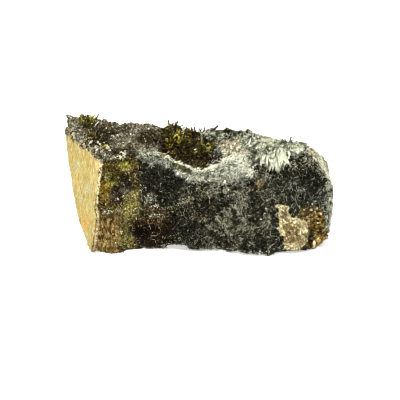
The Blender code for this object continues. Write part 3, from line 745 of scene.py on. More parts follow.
# Colours of each kind of ground, from the gaps of its pattern to its crests: place, red, green, blue
GROUND_LOOKS = {
    "tan": [(0.38, 0.015, 0.008, 0.002), (0.5, 0.085, 0.053, 0.015), (0.64, 0.29, 0.21, 0.085)],
    "olive": [(0.38, 0.004, 0.002, 0.0005), (0.52, 0.035, 0.024, 0.005), (0.68, 0.22, 0.17, 0.035)],
    "moss": [(0.34, 0.012, 0.01, 0.003), (0.5, 0.1, 0.088, 0.02), (0.66, 0.4, 0.37, 0.13)],
    "brown": [(0.4, 0.003, 0.002, 0.001), (0.54, 0.03, 0.017, 0.006), (0.7, 0.2, 0.13, 0.06)],
    "umber": [(0.44, 0.002, 0.001, 0.001), (0.6, 0.012, 0.008, 0.004), (0.76, 0.09, 0.065, 0.035)],
    "red": [(0.4, 0.004, 0.002, 0.001), (0.54, 0.04, 0.022, 0.007), (0.68, 0.3, 0.19, 0.08)],
    "ochre": [(0.34, 0.06, 0.03, 0.004), (0.5, 0.2, 0.12, 0.015), (0.66, 0.5, 0.34, 0.06)],
    "lime": [(0.36, 0.05, 0.04, 0.005), (0.5, 0.22, 0.2, 0.025), (0.66, 0.6, 0.56, 0.15)],
    "plum": [(0.4, 0.002, 0.001, 0.001), (0.54, 0.012, 0.008, 0.007), (0.7, 0.09, 0.065, 0.055)],
    "mauve": [(0.36, 0.009, 0.008, 0.006), (0.5, 0.075, 0.069, 0.052), (0.66, 0.38, 0.35, 0.27)],
    "basin": [(0.4, 0.002, 0.001, 0.0005), (0.56, 0.02, 0.013, 0.004), (0.72, 0.13, 0.09, 0.03)],
    "white": [(0.36, 0.05, 0.055, 0.043), (0.46, 0.42, 0.45, 0.37), (0.56, 0.88, 0.9, 0.8)],
    "cream": [(0.36, 0.05, 0.04, 0.028), (0.48, 0.42, 0.36, 0.25), (0.6, 0.85, 0.8, 0.65)],
    "amber": [(0.36, 0.012, 0.006, 0.001), (0.5, 0.15, 0.085, 0.01), (0.66, 0.55, 0.37, 0.07)],
    # shade: the colours of painted shade
    "shade": [(0.4, 0.003, 0.002, 0.001), (0.56, 0.02, 0.014, 0.006), (0.72, 0.16, 0.13, 0.07)],
}

# The same for the bare rock under the felt, for the cleaved face, and for its spots and its edge
BARE_LOOK = [(0.44, 0.0012, 0.0012, 0.0009), (0.56, 0.01, 0.0105, 0.007), (0.68, 0.08, 0.085, 0.058)]
CLEAVED_LOOK = [(0.36, 0.2, 0.13, 0.035), (0.5, 0.35, 0.275, 0.085), (0.64, 0.47, 0.4, 0.17)]
FACE_LOOKS = {
    "orange": [(0.36, 0.26, 0.14, 0.03), (0.5, 0.46, 0.25, 0.05), (0.64, 0.6, 0.42, 0.15)],
    "pale_spot": [(0.4, 0.2, 0.17, 0.075), (0.5, 0.35, 0.32, 0.16), (0.6, 0.5, 0.47, 0.29)],
    "edge": [(0.36, 0.12, 0.08, 0.03), (0.46, 0.5, 0.42, 0.22), (0.6, 0.8, 0.74, 0.5)],
}

# The same for the cream lump, clean, and brown for its stains and its painted shadow
LUMP_LOOKS = ([(0.38, 0.055, 0.042, 0.012), (0.5, 0.3, 0.26, 0.12), (0.62, 0.74, 0.7, 0.46)],
              [(0.38, 0.016, 0.01, 0.002), (0.52, 0.12, 0.08, 0.022), (0.66, 0.36, 0.26, 0.1)])

# Colours by the tint of a fibre, grain or crystal: a cool scale and a warm one for each material
TINTS = {
    "fine_fibre": (
        [(0.0, 0.0015, 0.0015, 0.001), (0.25, 0.018, 0.02, 0.014), (0.5, 0.1, 0.11, 0.078),
         (0.75, 0.5, 0.54, 0.42), (1.0, 0.97, 0.98, 0.9)],
        [(0.0, 0.002, 0.0015, 0.001), (0.25, 0.024, 0.019, 0.01), (0.5, 0.125, 0.105, 0.06),
         (0.75, 0.5, 0.46, 0.31), (1.0, 0.97, 0.93, 0.76)]),
    "epidote_prism": (
        [(0.0, 0.006, 0.006, 0.001), (0.35, 0.06, 0.055, 0.006), (0.7, 0.3, 0.28, 0.03),
         (1.0, 0.8, 0.78, 0.22)],
        [(0.0, 0.005, 0.003, 0.001), (0.35, 0.045, 0.028, 0.006), (0.7, 0.24, 0.16, 0.025),
         (1.0, 0.75, 0.62, 0.2)]),
    "amber_prism": (
        [(0.0, 0.02, 0.008, 0.002), (0.4, 0.13, 0.07, 0.011), (0.75, 0.42, 0.27, 0.05), (1.0, 0.9, 0.8, 0.5)],
        [(0.0, 0.025, 0.014, 0.003), (0.4, 0.18, 0.12, 0.024), (0.75, 0.5, 0.38, 0.12),
         (1.0, 0.9, 0.84, 0.6)]),
    "pale_grain": (
        [(0.0, 0.02, 0.02, 0.015), (0.5, 0.22, 0.23, 0.18), (1.0, 0.85, 0.87, 0.78)],
        [(0.0, 0.02, 0.016, 0.009), (0.5, 0.22, 0.19, 0.11), (1.0, 0.82, 0.77, 0.55)]),
    "dark_grain": (
        [(0.0, 0.004, 0.004, 0.002), (0.4, 0.03, 0.026, 0.008), (0.8, 0.2, 0.18, 0.05),
         (1.0, 0.5, 0.46, 0.22)],
        [(0.0, 0.005, 0.003, 0.001), (0.4, 0.04, 0.022, 0.008), (0.8, 0.22, 0.14, 0.045),
         (1.0, 0.5, 0.36, 0.17)]),
    "sugar_grain": (
        [(0.0, 0.08, 0.065, 0.025), (0.5, 0.3, 0.26, 0.13), (1.0, 0.78, 0.74, 0.55)],
        [(0.0, 0.07, 0.045, 0.015), (0.5, 0.27, 0.2, 0.085), (1.0, 0.7, 0.6, 0.4)]),
}


def rock_material():
    """Ground of many colours, one for each kind of ground, all broken up by fine noise."""
    material, tree, shader, where = new_material("host_rock_ground", 0.85, Specular_IOR_Level=0.03)
    grit = cloud(tree, where, 0.42, 4.0, 0.7)
    lumps = cloud(tree, where, 2.2, 3.0)
    ribs = cloud(tree, stretched(tree, where, (1.0, 1.0, 0.4)), 0.6, 4.0, 0.7)
    bare = ramp(tree, grit, BARE_LOOK)
    colour = layered(tree, times(tree, steps(tree, lumps, 0.52, 0.75), 0.6), bare, (0.014, 0.012, 0.005))
    for name, stops in GROUND_LOOKS.items():
        pattern = ribs if name == "tan" else grit
        colour = layered(tree, share_of(tree, name), colour, ramp(tree, pattern, stops))
    colour = layered(tree, share_of(tree, "cleaved"), colour, cleaved_colour(tree, where))
    for name, stops in FACE_LOOKS.items():
        colour = layered(tree, share_of(tree, name), colour, ramp(tree, grit, stops))
    tree.links.new(colour, shader.inputs["Base Color"])
    add_bump(tree, shader, plus(tree, grit, cells(tree, where, 0.35)))
    return material


def cleaved_colour(tree, where):
    """Buff with thin upright streaks, pale and orange spots and dark specks."""
    patches = cloud(tree, where, 4.5, 2.0)
    streaks = cloud(tree, stretched(tree, where, (1.0, 1.8, 0.5)), 1.0, 6.0, 0.75)
    mottle = cloud(tree, where, 1.1, 4.0, 0.7)
    fine = cloud(tree, stretched(tree, where, (1.0, 3.0, 0.6)), 0.4, 2.0)
    colour = ramp(tree, streaks, CLEAVED_LOOK)
    for pattern, start, full, strength, over in (
            (mottle, 0.52, 0.62, 0.7, (0.5, 0.45, 0.27)), (patches, 0.55, 0.7, 0.7, (0.38, 0.21, 0.055)),
            (patches, 0.42, 0.3, 0.6, (0.36, 0.33, 0.16)), (fine, 0.4, 0.32, 0.8, (0.1, 0.07, 0.02))):
        colour = layered(tree, times(tree, steps(tree, pattern, start, full), strength), colour, over)
    return colour


def tinted_material(name, roughness, speckle=0.5, **values):
    """Colour by the tint and the warmth of each fibre, grain or crystal, with fine variation."""
    material, tree, shader, where = new_material(name, roughness, **values)
    vary = steps(tree, cloud(tree, where, speckle, 2.0), 0.2, 0.8)
    share = plus(tree, share_of(tree, "tint"), times(tree, plus(tree, vary, -0.5), 0.16))
    cool, warm = [ramp(tree, share, stops) for stops in TINTS[name]]
    colour = layered(tree, share_of(tree, "warmth"), cool, warm)
    tree.links.new(colour, shader.inputs["Base Color"])
    return material


# The host rock


def remeshed_copy(node, cell, name):
    """The mesh of a solid, rebuilt with small even cells."""
    source = add_object(name + "_source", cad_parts[node].data.copy())
    bm = bmesh.new()
    bm.from_mesh(source.data)
    bmesh.ops.remove_doubles(bm, verts=bm.verts, dist=0.001 * MM)
    bm.to_mesh(source.data)
    bm.free()
    rebuild = source.modifiers.new("rebuild", 'REMESH')
    rebuild.mode = 'VOXEL'
    rebuild.voxel_size = cell * MM
    graph = bpy.context.evaluated_depsgraph_get()
    mesh = bpy.data.meshes.new_from_object(source.evaluated_get(graph))
    mesh.name = name
    bpy.data.objects.remove(source)
    for layer in list(mesh.uv_layers):
        mesh.uv_layers.remove(layer)
    return mesh


def clumps_at(points):
    return noise_at(points, 1.5, 29.0) + 0.5 * noise_at(points, 0.7, 31.0)


def rock_relief(points, shares):
    """Height over the solid's surface, which stays at or under it nearly everywhere."""
    fine = noise_at(points, 0.55) + 0.6 * noise_at(points, 0.95, 7.0)
    chips = chips_at(points, 2.1, 3.0)
    small_chips = chips_at(points, 0.9, 5.0)
    ribs = noise_at(points, (0.8, 1.2, 4.5), 13.0)
    clump = clumps_at(points)
    kinds = {
        "olive": -0.45 + 0.18 * fine + 0.35 * chips + 0.22 * small_chips,
        "tan": -0.35 + 0.12 * fine + 0.22 * ribs + 0.25 * chips + 0.1 * small_chips,
        "mauve": -0.15 + 0.6 * clump + 0.2 * fine + 0.25 * small_chips,
        "cream": -0.1 + 0.4 * clump + 0.15 * fine + 0.25 * small_chips,
        "basin": -0.6 + 0.5 * noise_at(points, 1.8, 19.0) + 0.2 * fine + 0.15 * small_chips,
        "white": -0.1 + 0.25 * clump + 0.15 * fine + 0.1 * small_chips,
        "amber": -0.5 + 0.3 * chips + 0.2 * small_chips,
        "cleaved": -0.05 + 0.02 * fine + 0.03 * ribs,
    }
    height = -0.35 + 0.45 * clump + 0.16 * fine + 0.25 * chips
    for name, kind in kinds.items():
        height = height * (1.0 - shares[name]) + kind * shares[name]
    return np.clip(height, *ROCK_RELIEF)


def build_rock():
    """Rock, with the ground that fibres, crystals and grains are scattered on."""
    mesh = remeshed_copy("matrix", ROCK_CELL, "rock")
    points, normals = coordinates(mesh), point_vectors(mesh, "normal")
    shares, front, top = ground_shares(points, normals)
    height = rock_relief(points, shares)
    height *= ease(0.1, 1.0, points[:, 2]) + 0.3 * (normals[:, 2] > -0.5)
    moved = inside_box(points + normals * height[:, None])
    resting = points[:, 2] < RESTING_UNDER
    moved[resting, 2] = 0.0
    set_coordinates(mesh, moved)
    for name, share in shares.items():
        add_values(mesh, name, share)
    map_on_cube(mesh, points)
    mesh.shade_smooth()
    rock = new_piece("rock", mesh, rock_material())
    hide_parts("matrix")
    return Ground(mesh, normals, shares, front, top)


# Fibres on the rock


def lay_fibres(name, ground, rng, kind, count, density, paleness, material, warmth=0.0):
    """Single fibres along the surface, where density is high. Their tint follows the paleness."""
    feet, normals, near = ground.scatter(rng, count, density)
    ways = tumbled(rng, normals, rng.uniform(*kind["lift"], count))
    ways = unit(ways + kind["hang"] * combed(normals, -UP))
    span = rng.uniform(*kind["lengths"], count)
    thick = rng.uniform(*kind["widths"], count)
    bends = tumbled(rng, normals, np.zeros(count)) * (0.12 * span * rng.random(count))[:, None]
    tints = np.clip(paleness[near] * (0.35 + 1.3 * rng.random(count) ** 1.7), 0.02, 1.0)
    warm = np.broadcast_to(warmth, paleness.shape)[near] + rng.uniform(-0.2, 0.2, count)
    paths = bent_paths(feet - FIBRE_ROOT * normals, ways, span, bends, FELT_LEVELS)
    mesh = fibre_mesh(name, paths, FELT_LEVELS, thick, tints, np.clip(warm, 0.0, 1.0))
    new_piece(name, mesh, material)


def build_front_felt(ground, material):
    """Felt on the front: dark fibres all over, and pale ones in clumps and under the rim."""
    rng = np.random.default_rng(101)
    points, places, shares, spots = ground.points, ground.places, ground.shares, ground.spots
    x, clump = places[:, 0], ground.clumps
    coloured = shares["tan"] + 0.9 * shares["olive"] + 0.5 * shares["brown"] + 0.4 * shares["moss"]
    grown = ground.front * (1.0 - 0.92 * np.clip(coloured + shares["amber"], 0.0, 1.0))
    grown = grown * (1.0 - 0.95 * in_spots(places, "white_mass", 1.05))
    lay_fibres("dark_front_felt", ground, rng, DARK_FELT, 5000, grown, 0.12 + 0.06 * clump, material)

    patches = noise_at(points, 4.5, 43.0)
    specks = noise_at(points, 0.6, 49.0)
    streaks = noise_at(points, (0.7, 1.0, 1.6), 45.0)
    dark_left, black, core = spots["dark_left"], spots["black_right"], spots["black_core"]
    light, dark = in_spots(places, "light_felt", 1.2), in_spots(places, "dark_felt", 1.1)
    low_drop = over_line(places, LOWER_RIDGE) + 0.9 * noise_at(points, 1.6, 35.0)
    band = ease(-1.7, -0.5, low_drop) * between(-13.5, 8.5, 1.5, x) * (0.5 + 0.4 * ease(-8.0, -3.0, x))
    band = np.clip(band + in_spots(places, "white_mass", 1.3) - spots["white_mass"], 0.0, 1.0)
    density = grown * (0.06 + 1.2 * ease(-0.1, 0.7, 0.6 * clump + 0.6 * specks + 0.3 * patches))
    density = density * (1.0 - 0.75 * dark_left) * (1.0 - 0.93 * black) * (1.0 + 0.8 * light - 0.5 * dark)
    density = density * (1.0 - 0.8 * shares["umber"]) * (1.0 - core) + 0.9 * ground.front * band
    paleness = 0.55 + 0.12 * clump + 0.12 * patches + 0.1 * specks - 0.14 * dark_left - 0.1 * black
    paleness = paleness + 0.12 * light - 0.1 * dark + band * (0.2 + 0.35 * streaks)
    warmth = 0.3 + 0.3 * patches + 0.5 * shares["brown"] + 0.5 * shares["moss"] + 0.4 * shares["olive"]
    warmth = warmth - 0.3 * band + 0.8 * in_spots(places, "olive_felt", 1.2)
    lay_fibres("pale_front_felt", ground, rng, PALE_FELT, 23000, density, paleness, material, warmth)

    density = grown * (0.12 + black + 0.35 * ease(12.0, 20.0, x)) * (1.0 - 0.9 * core)
    lay_fibres("front_arcs", ground, rng, ARCS, 1700, density, 0.68 - 0.04 * black + 0.1 * clump, material)


def build_top_felt(ground, material):
    """Grey felt on the top: warm at the left, whiter at the right, sparse among the crystals."""
    rng = np.random.default_rng(103)
    shares, spots, clump = ground.shares, ground.spots, ground.clumps
    x = ground.places[:, 0]
    rise = over_line(ground.places, FRINGE_TIPS)
    comb = ease(1.0, 2.4, rise) * (1.0 - ease(5.0, 6.5, rise))
    grown = ground.top * (1.0 - 0.9 * shares["basin"])
    grown = grown * (1.0 - 0.9 * comb * between(12.5, 27.0, 0.8, x)) * (1.0 - 0.9 * spots["white_mass"])
    lay_fibres("dark_top_felt", ground, rng, DARK_FELT, 2000, grown, 0.13 + 0.06 * clump, material)

    right = ease(1.0, 6.0, x)
    # darker, sparser felt in the painted shade and in the dark band at the rear
    shade = np.clip(shares["shade"] + 0.6 * spots["rear_dark"], 0.0, 1.0)
    density = grown * (0.06 + 1.3 * ease(-0.2, 0.5, clump + 0.2 * right)) * (1.0 - 0.8 * shade)
    paleness = 0.58 + 0.2 * right + 0.2 * ease(12.0, 18.0, x) + 0.25 * clump - 0.15 * shade
    warmth = 0.75 - 0.5 * right + 0.6 * shares["cream"]
    lay_fibres("pale_top_felt", ground, rng, PALE_FELT, 13000, density, paleness, material, warmth)


def build_rear_felt(ground, material):
    """The same felt on the right end and the back, thinning out downwards."""
    rng = np.random.default_rng(107)
    shares, clump = ground.shares, ground.clumps
    x, z = ground.points[:, 0], ground.points[:, 2]
    grown = (1.0 - ground.front) * (1.0 - ground.top) * (1.0 - shares["cleaved"])
    grown = grown * (0.15 + ease(1.0, 12.0, z) + 0.5 * ease(26.0, 30.0, x)) * (1.0 - 0.8 * shares["amber"])
    grown = grown * ease(-29.5, -27.0, x)
    lay_fibres("dark_rear_felt", ground, rng, DARK_FELT, 3000, grown, 0.12 + 0.06 * clump, material)

    high = ease(14.0, 21.0, z)
    patches = noise_at(ground.points, 4.5, 47.0)
    density = grown * (0.12 + 1.3 * ease(-0.2, 0.7, clump + 0.35 * patches + 0.25 * high))
    density = density * (1.0 - 0.5 * shares["mauve"])
    paleness = 0.56 + 0.1 * ease(24.0, 30.0, x) + 0.12 * high + 0.14 * clump + 0.1 * patches
    warmth = 0.35 + 0.4 * patches
    lay_fibres("pale_rear_felt", ground, rng, PALE_FELT, 14000, density, paleness, material, warmth)


def grow_tufts(rng, rooted, fibres, lengths, widths, pull, spread, tints, warmth, lift=0.3):
    """Paths, widths, tints and warmth of fibres that grow in tufts from their roots."""
    roots, root_normals = rooted
    root_normals = unit(root_normals)
    tufts = len(roots)
    count = tufts * fibres
    way = combed(root_normals, np.array(pull)) + rng.normal(scale=spread, size=root_normals.shape)
    way = np.repeat(unit(way + lift * root_normals), fibres, axis=0)
    normals = np.repeat(root_normals, fibres, axis=0)
    length = np.repeat(rng.uniform(*lengths, tufts), fibres) * rng.uniform(0.6, 1.05, count)
    feet = np.repeat(roots, fibres, axis=0) - FIBRE_ROOT * normals
    feet = feet + 0.17 * tumbled(rng, normals, np.zeros(count)) * rng.random(count)[:, None]
    aim = unit(way * length[:, None] + 0.11 * rng.normal(size=feet.shape))
    bends = normals * (0.1 * length)[:, None]
    shade = np.repeat(rng.uniform(*tints, tufts), fibres) * rng.uniform(0.85, 1.0, count)
    paths = bent_paths(feet, aim, length, bends, TUFT_LEVELS)
    return paths, rng.uniform(*widths, count), shade, np.full(count, warmth)


def comb_locks(rng, ground, count, density, rise, widths, tints):
    """Paths, widths, tints and warmth of strands that are combed in locks from the top over the rim."""
    roots, normals, near = ground.scatter(rng, count, density)
    normals = np.repeat(normals, LOCK_STRANDS, axis=0)
    total = len(normals)
    spread = 0.22 * tumbled(rng, normals, np.zeros(total))
    roots = np.repeat(roots, LOCK_STRANDS, axis=0) + spread * rng.random(total)[:, None]
    lean = np.repeat(rng.normal(scale=LOCK_SWAY, size=(count, 3)), LOCK_STRANDS, axis=0)
    lean = lean + rng.normal(scale=0.3 * LOCK_SWAY, size=lean.shape)
    lengths = np.repeat(np.clip(1.35 * rise[near], 1.2, 6.5) * rng.uniform(0.6, 1.15, count), LOCK_STRANDS)
    lengths = lengths * rng.uniform(0.75, 1.0, total)
    paths = draped_paths(ground, lean, normals, roots, lengths)
    shade = np.repeat(rng.uniform(*tints, count), LOCK_STRANDS) * rng.uniform(0.85, 1.0, total)
    return paths, rng.uniform(*widths, total), shade, np.full(total, 0.12)


def strand_piece(name, groups, levels, material):
    paths, widths, tints, warmth = [np.concatenate(values) for values in zip(*groups)]
    mesh = fibre_mesh(name, paths, levels, widths, tints, warmth, STRAND_FOOT_SHADE)
    return new_piece(name, mesh, material)


def build_fringe(ground, material):
    """White fibres: combed over the right part of the rim, tangled where it dips, short on the top."""
    rng = np.random.default_rng(109)
    spots = ground.spots
    x, height = ground.places.T
    skin = ground.front + ground.top
    rise = over_line(ground.places, FRINGE_TIPS)
    comb = skin * between(1.8, 6.2, 0.5, rise) * between(12.0, 27.0, 0.8, x)
    right = ease(14.5, 17.5, x)
    white_comb = comb * (0.4 + right + 1.3 * ease(21.0, 23.0, x))
    locks = [comb_locks(rng, ground, 170, comb * (1.2 - 0.8 * right), rise, FINE, (0.4, 0.8)),
             comb_locks(rng, ground, 400, white_comb, rise, (0.11, 0.19), (0.72, 1.0))]
    piece = strand_piece("fringe_fibres", locks, STRAND_LEVELS, material)
    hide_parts("byssolite_fringe")

    mass = skin * in_spots(ground.places, "white_mass", 1.1)
    crest = skin * between(12.5, 28.0, 0.8, x) * ease(2.8, 4.2, rise)
    crest = crest * (1.0 - ease(24.6, 26.0, height - 0.2 * x))
    patches = skin * spots["mat_patches"]
    mat = ground.top * between(12.0, 28.0, 1.0, x) * ease(5.2, 6.2, rise)
    mat = mat + 0.6 * ground.top * between(5.0, 14.0, 1.0, x) * (1.0 - 0.9 * spots["rear_dark"])
    specks = dark_specks(ground.points)
    bright = np.clip(mass + crest + 0.6 * patches, 0.0, 1.0)
    whiteness = 1.0 + 2.4 * bright + 0.4 * ground.clumps - (1.0 + 2.0 * bright) * specks
    density = (mass + 0.8 * crest) * (1.0 - 0.9 * specks)
    density = density + 0.25 * mat + 0.3 * skin * spots["grey_over"] + 0.6 * patches
    lay_fibres("white_mat", ground, rng, WHITE_MAT, 13000, density, whiteness, material, 0.05)

    groups = [
        grow_tufts(rng, ground.roots(rng, 150, mat), 7,
                   (0.5, 1.1), FINE, DOWN_TOP, 0.5, (0.55, 1.0), 0.3, 0.6),
        grow_tufts(rng, ground.roots(rng, 200, mat), 3,
                   (0.6, 1.4), STRAND, DOWN_TOP, 0.5, (0.85, 1.0), 0.3, 0.5),
        grow_tufts(rng, ground.roots_on_line(rng, 120, CORNER_LINE, 25.2, 30.6, skin, 0.5), 4,
                   (0.8, 1.9), STRAND, ROUND_CORNER, 0.15, (0.85, 1.0), 0.35),
    ]
    strand_piece("top_tufts", groups, TUFT_LEVELS, material)


def build_rim_line(ground, material):
    """The two pale ridges of tufts along the left and middle of the rim, and tufts at the foot."""
    rng = np.random.default_rng(111)
    points, x = ground.points, ground.places[:, 0]
    facing = ground.front + ground.top
    facing = facing * ease(-0.1, 0.2, ground.normals @ np.array((0.0, -0.95, 0.31)))
    low_drop = over_line(ground.places, LOWER_RIDGE) + 0.3 * noise_at(points, 1.5, 57.0)
    lower = facing * between(-0.7, 0.5, 0.3, low_drop) * between(-12.8, 7.0, 1.0, x)
    lower = lower * (0.3 + ease(-7.5, -3.5, x))
    foot = ground.front * (1.0 - ease(1.0, 1.8, points[:, 2]))
    foot = foot * (between(-7.5, -4.5, 0.7, x) + 0.2 * ease(-6.0, -3.0, x))

    groups = [
        grow_tufts(rng, ground.roots_on_line(rng, 45, RIM, -12.5, -8.0, facing), 5,
                   (0.6, 1.3), FINE, ALONG_RIM, 0.2, (0.6, 0.95), 0.1),
        grow_tufts(rng, ground.roots_on_line(rng, 40, RIM, -4.8, 0.4, facing, 0.2), 5,
                   (0.6, 1.3), FINE, ALONG_RIM, 0.3, (0.95, 1.0), 0.1, 0.6),
        grow_tufts(rng, ground.roots_on_line(rng, 150, RIM, -9.5, 3.0, facing), 4,
                   (0.7, 1.5), STRAND, ALONG_RIM, 0.12, (0.92, 1.0), 0.1, 0.5),
        grow_tufts(rng, ground.roots(rng, 380, lower), 6,
                   (0.5, 1.4), FINE, DOWN_RIDGE, 0.5, (0.5, 0.95), 0.1),
        grow_tufts(rng, ground.roots(rng, 150, lower), 3,
                   (0.6, 1.5), STRAND, DOWN_RIDGE, 0.5, (0.85, 1.0), 0.1),
        grow_tufts(rng, ground.roots(rng, 130, foot), 6,
                   (0.4, 0.9), FINE, DOWN_FOOT, 0.5, (0.6, 1.0), 0.3),
        grow_tufts(rng, ground.roots(rng, 60, foot), 3,
                   (0.4, 1.0), STRAND, DOWN_FOOT, 0.5, (0.85, 1.0), 0.3),
    ]
    strand_piece("rim_fibres", groups, TUFT_LEVELS, material)


def build_edge_mat(ground, material):
    """Pale fuzz where the front turns to the right end, thinning out towards the back."""
    rng = np.random.default_rng(151)
    x, y = ground.points[:, 0], ground.points[:, 1]
    high = between(6.0, 22.5, 1.0, ground.places[:, 1])
    density = ease(29.3, 30.2, x) * high * (1.0 - 0.9 * ease(-4.0, 6.0, y)) * (1.0 - ground.top)
    whiteness = 2.2 - 1.2 * ease(-6.0, 4.0, y) + 0.5 * ground.clumps
    lay_fibres("edge_mat", ground, rng, WHITE_MAT, 4200, density, whiteness, material, 0.15)


# Crystals


def crystal_group(ground, rng, count, density, centres, lengths, widths, spread, tints, warmth):
    """Crystals that lean away from the nearest of a few centres."""
    feet, normals, _ = ground.scatter(rng, count, density)
    gaps = feet[:, None] - np.array(centres)[None]
    nearest = np.linalg.norm(gaps, axis=2).argmin(axis=1)
    outward = gaps[np.arange(count), nearest]
    ways = unit(normals + spread * (0.35 * outward + 0.8 * rng.normal(size=feet.shape)))
    ways[:, 2] = np.abs(ways[:, 2])
    wide = rng.uniform(*widths, count)
    sizes = np.stack([wide, wide, rng.uniform(*lengths, count)], axis=1)
    tint = tints[0] + (tints[1] - tints[0]) * rng.random(count) ** 1.8
    warm = rng.uniform(*warmth, count)
    return feet, ways, sizes, tint, warm


def single_prisms(ground, side, prisms):
    """Crystals at seen places that run in seen directions, a little towards the viewer."""
    x, height, run_x, run_height, wide, tints, warmth = np.array(prisms).T
    feet = ground.points[[ground.nearest(place, side) for place in zip(x, height)]]
    runs = np.stack([run_x, -0.3 * np.hypot(run_x, run_height), run_height], axis=1)
    sizes = np.stack([wide, wide, np.linalg.norm(runs, axis=1) + 0.4], axis=1)
    return feet, unit(runs), sizes, tints, warmth


def crystal_piece(name, ground, rng, sorts, singles, shapes, material):
    """One piece of several sorts of small crystals, and of single ones."""
    groups = [crystal_group(ground, rng, *sort) for sort in sorts] + [singles]
    feet, ways, sizes, tints, warmth = [np.concatenate(values) for values in zip(*groups)]
    turns = turns_along(ways, rng.uniform(0.0, 2.0 * math.pi, len(feet)))
    # painted shade: the crystals darken towards their feet
    mesh = copies_mesh(name, rng, shapes, feet - 0.25 * ways, turns, sizes, tints, warmth, 0.6)
    return new_piece(name, mesh, material)


def epidote_shapes():
    kinds = ((0.62, 0.10, 0.35, 0.2), (0.5, 0.07, 0.6, 0.5), (0.75, 0.13, 0.2, -0.3))
    return [prism_shape(*kind) for kind in kinds]


def build_spray(ground, material):
    """Olive prisms in three clusters at the rear left corner of the top."""
    rng = np.random.default_rng(113)
    sorts = []
    for name, count, centre, lengths, spread, tints, warmth in SPRAY_CLUSTERS:
        density = ground.top * ground.spots[name]
        sorts.append((count, density, [centre], lengths, SPRAY_WIDTHS, spread, tints, warmth))
    singles = single_prisms(ground, ground.top, SPRAY_PRISMS)
    piece = crystal_piece("spray_crystals", ground, rng, sorts, singles, epidote_shapes(), material)
    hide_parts("epidote_spray")


def build_basin(ground, material):
    """Brown-olive prisms that line the hollow in the top, darker in its painted shade."""
    rng = np.random.default_rng(127)
    basin, shade = ground.shares["basin"], ground.spots["basin_shade"]
    patchy = 0.6 + 0.8 * noise_at(ground.points, 2.0, 91.0)
    green = np.clip(ground.spots["green_left"] + ground.spots["green_right"], 0.0, 1.0)
    brown = basin * patchy * (1.0 - shade) * (1.0 - green)
    sorts = [
        (520, brown, BASIN_CENTRES, (0.8, 2.1), BASIN_WIDTHS, 0.75, (0.02, 0.75), (0.4, 1.0)),
        (100, basin * green, BASIN_CENTRES, (0.8, 2.0), BASIN_WIDTHS, 0.75, (0.08, 0.75), (0.1, 0.6)),
        # darker crystals in the painted shade of the hollow
        (160, basin * shade, BASIN_CENTRES, (0.6, 1.4), BASIN_WIDTHS, 0.75, (0.02, 0.35), (0.6, 1.0)),
    ]
    singles = single_prisms(ground, ground.top, BASIN_PRISMS)
    piece = crystal_piece("basin_crystals", ground, rng, sorts, singles, epidote_shapes(), material)
    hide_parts("epidote_basin_crust")


def build_pocket(ground, material):
    """Short glassy amber crystals on the walls of the pocket, nearly black in its painted shadow."""
    rng = np.random.default_rng(131)
    shapes = [prism_shape(0.8, 0.35, 0.3, 0.2), prism_shape(0.9, 0.25, 0.5, -0.4)]
    amber, shade = ground.shares["amber"], ground.spots["pocket_shade"]
    gold = ground.spots["pocket_gold"] * (1.0 - shade)
    plain = amber * (1.0 - shade) ** 2 * (1.0 - gold)
    sorts = [
        (90, plain, POCKET_CENTRES, (0.6, 1.4), (0.35, 0.8), 0.9, (0.05, 0.75), (0.0, 1.0)),
        (90, amber * gold, POCKET_CENTRES, (0.9, 1.9), (0.45, 0.95), 1.0, (0.2, 1.0), (0.2, 1.0)),
        # nearly black crystals in the painted shadow of the pocket
        (24, amber * shade, POCKET_CENTRES, (0.3, 0.6), (0.3, 0.6), 0.45, (0.0, 0.05), (0.0, 0.4)),
    ]
    singles = single_prisms(ground, ground.front, POCKET_PRISMS)
    piece = crystal_piece("pocket_crystals", ground, rng, sorts, singles, shapes, material)
    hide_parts("pocket_crust")


# Grains


def scatter_grains(name, ground, rng, count, density, sizes, tints, warmth, material):
    places, normals, _ = ground.scatter(rng, count, density)
    shapes = [chunk_shape(rng, corners) for corners in (8, 9, 10, 12)]
    across = sizes[0] + (sizes[1] - sizes[0]) * rng.random(count) ** 2.5
    three = across[:, None] * rng.uniform(0.7, 1.2, (count, 3))
    turns = turns_along(unit(rng.normal(size=places.shape)), rng.uniform(0.0, 6.28, count))
    shade = rng.uniform(*tints, count)
    warm = rng.uniform(*warmth, count)
    mesh = copies_mesh(name, rng, shapes, places + 0.1 * normals, turns, three, shade, warm)
    return new_piece(name, mesh, material)


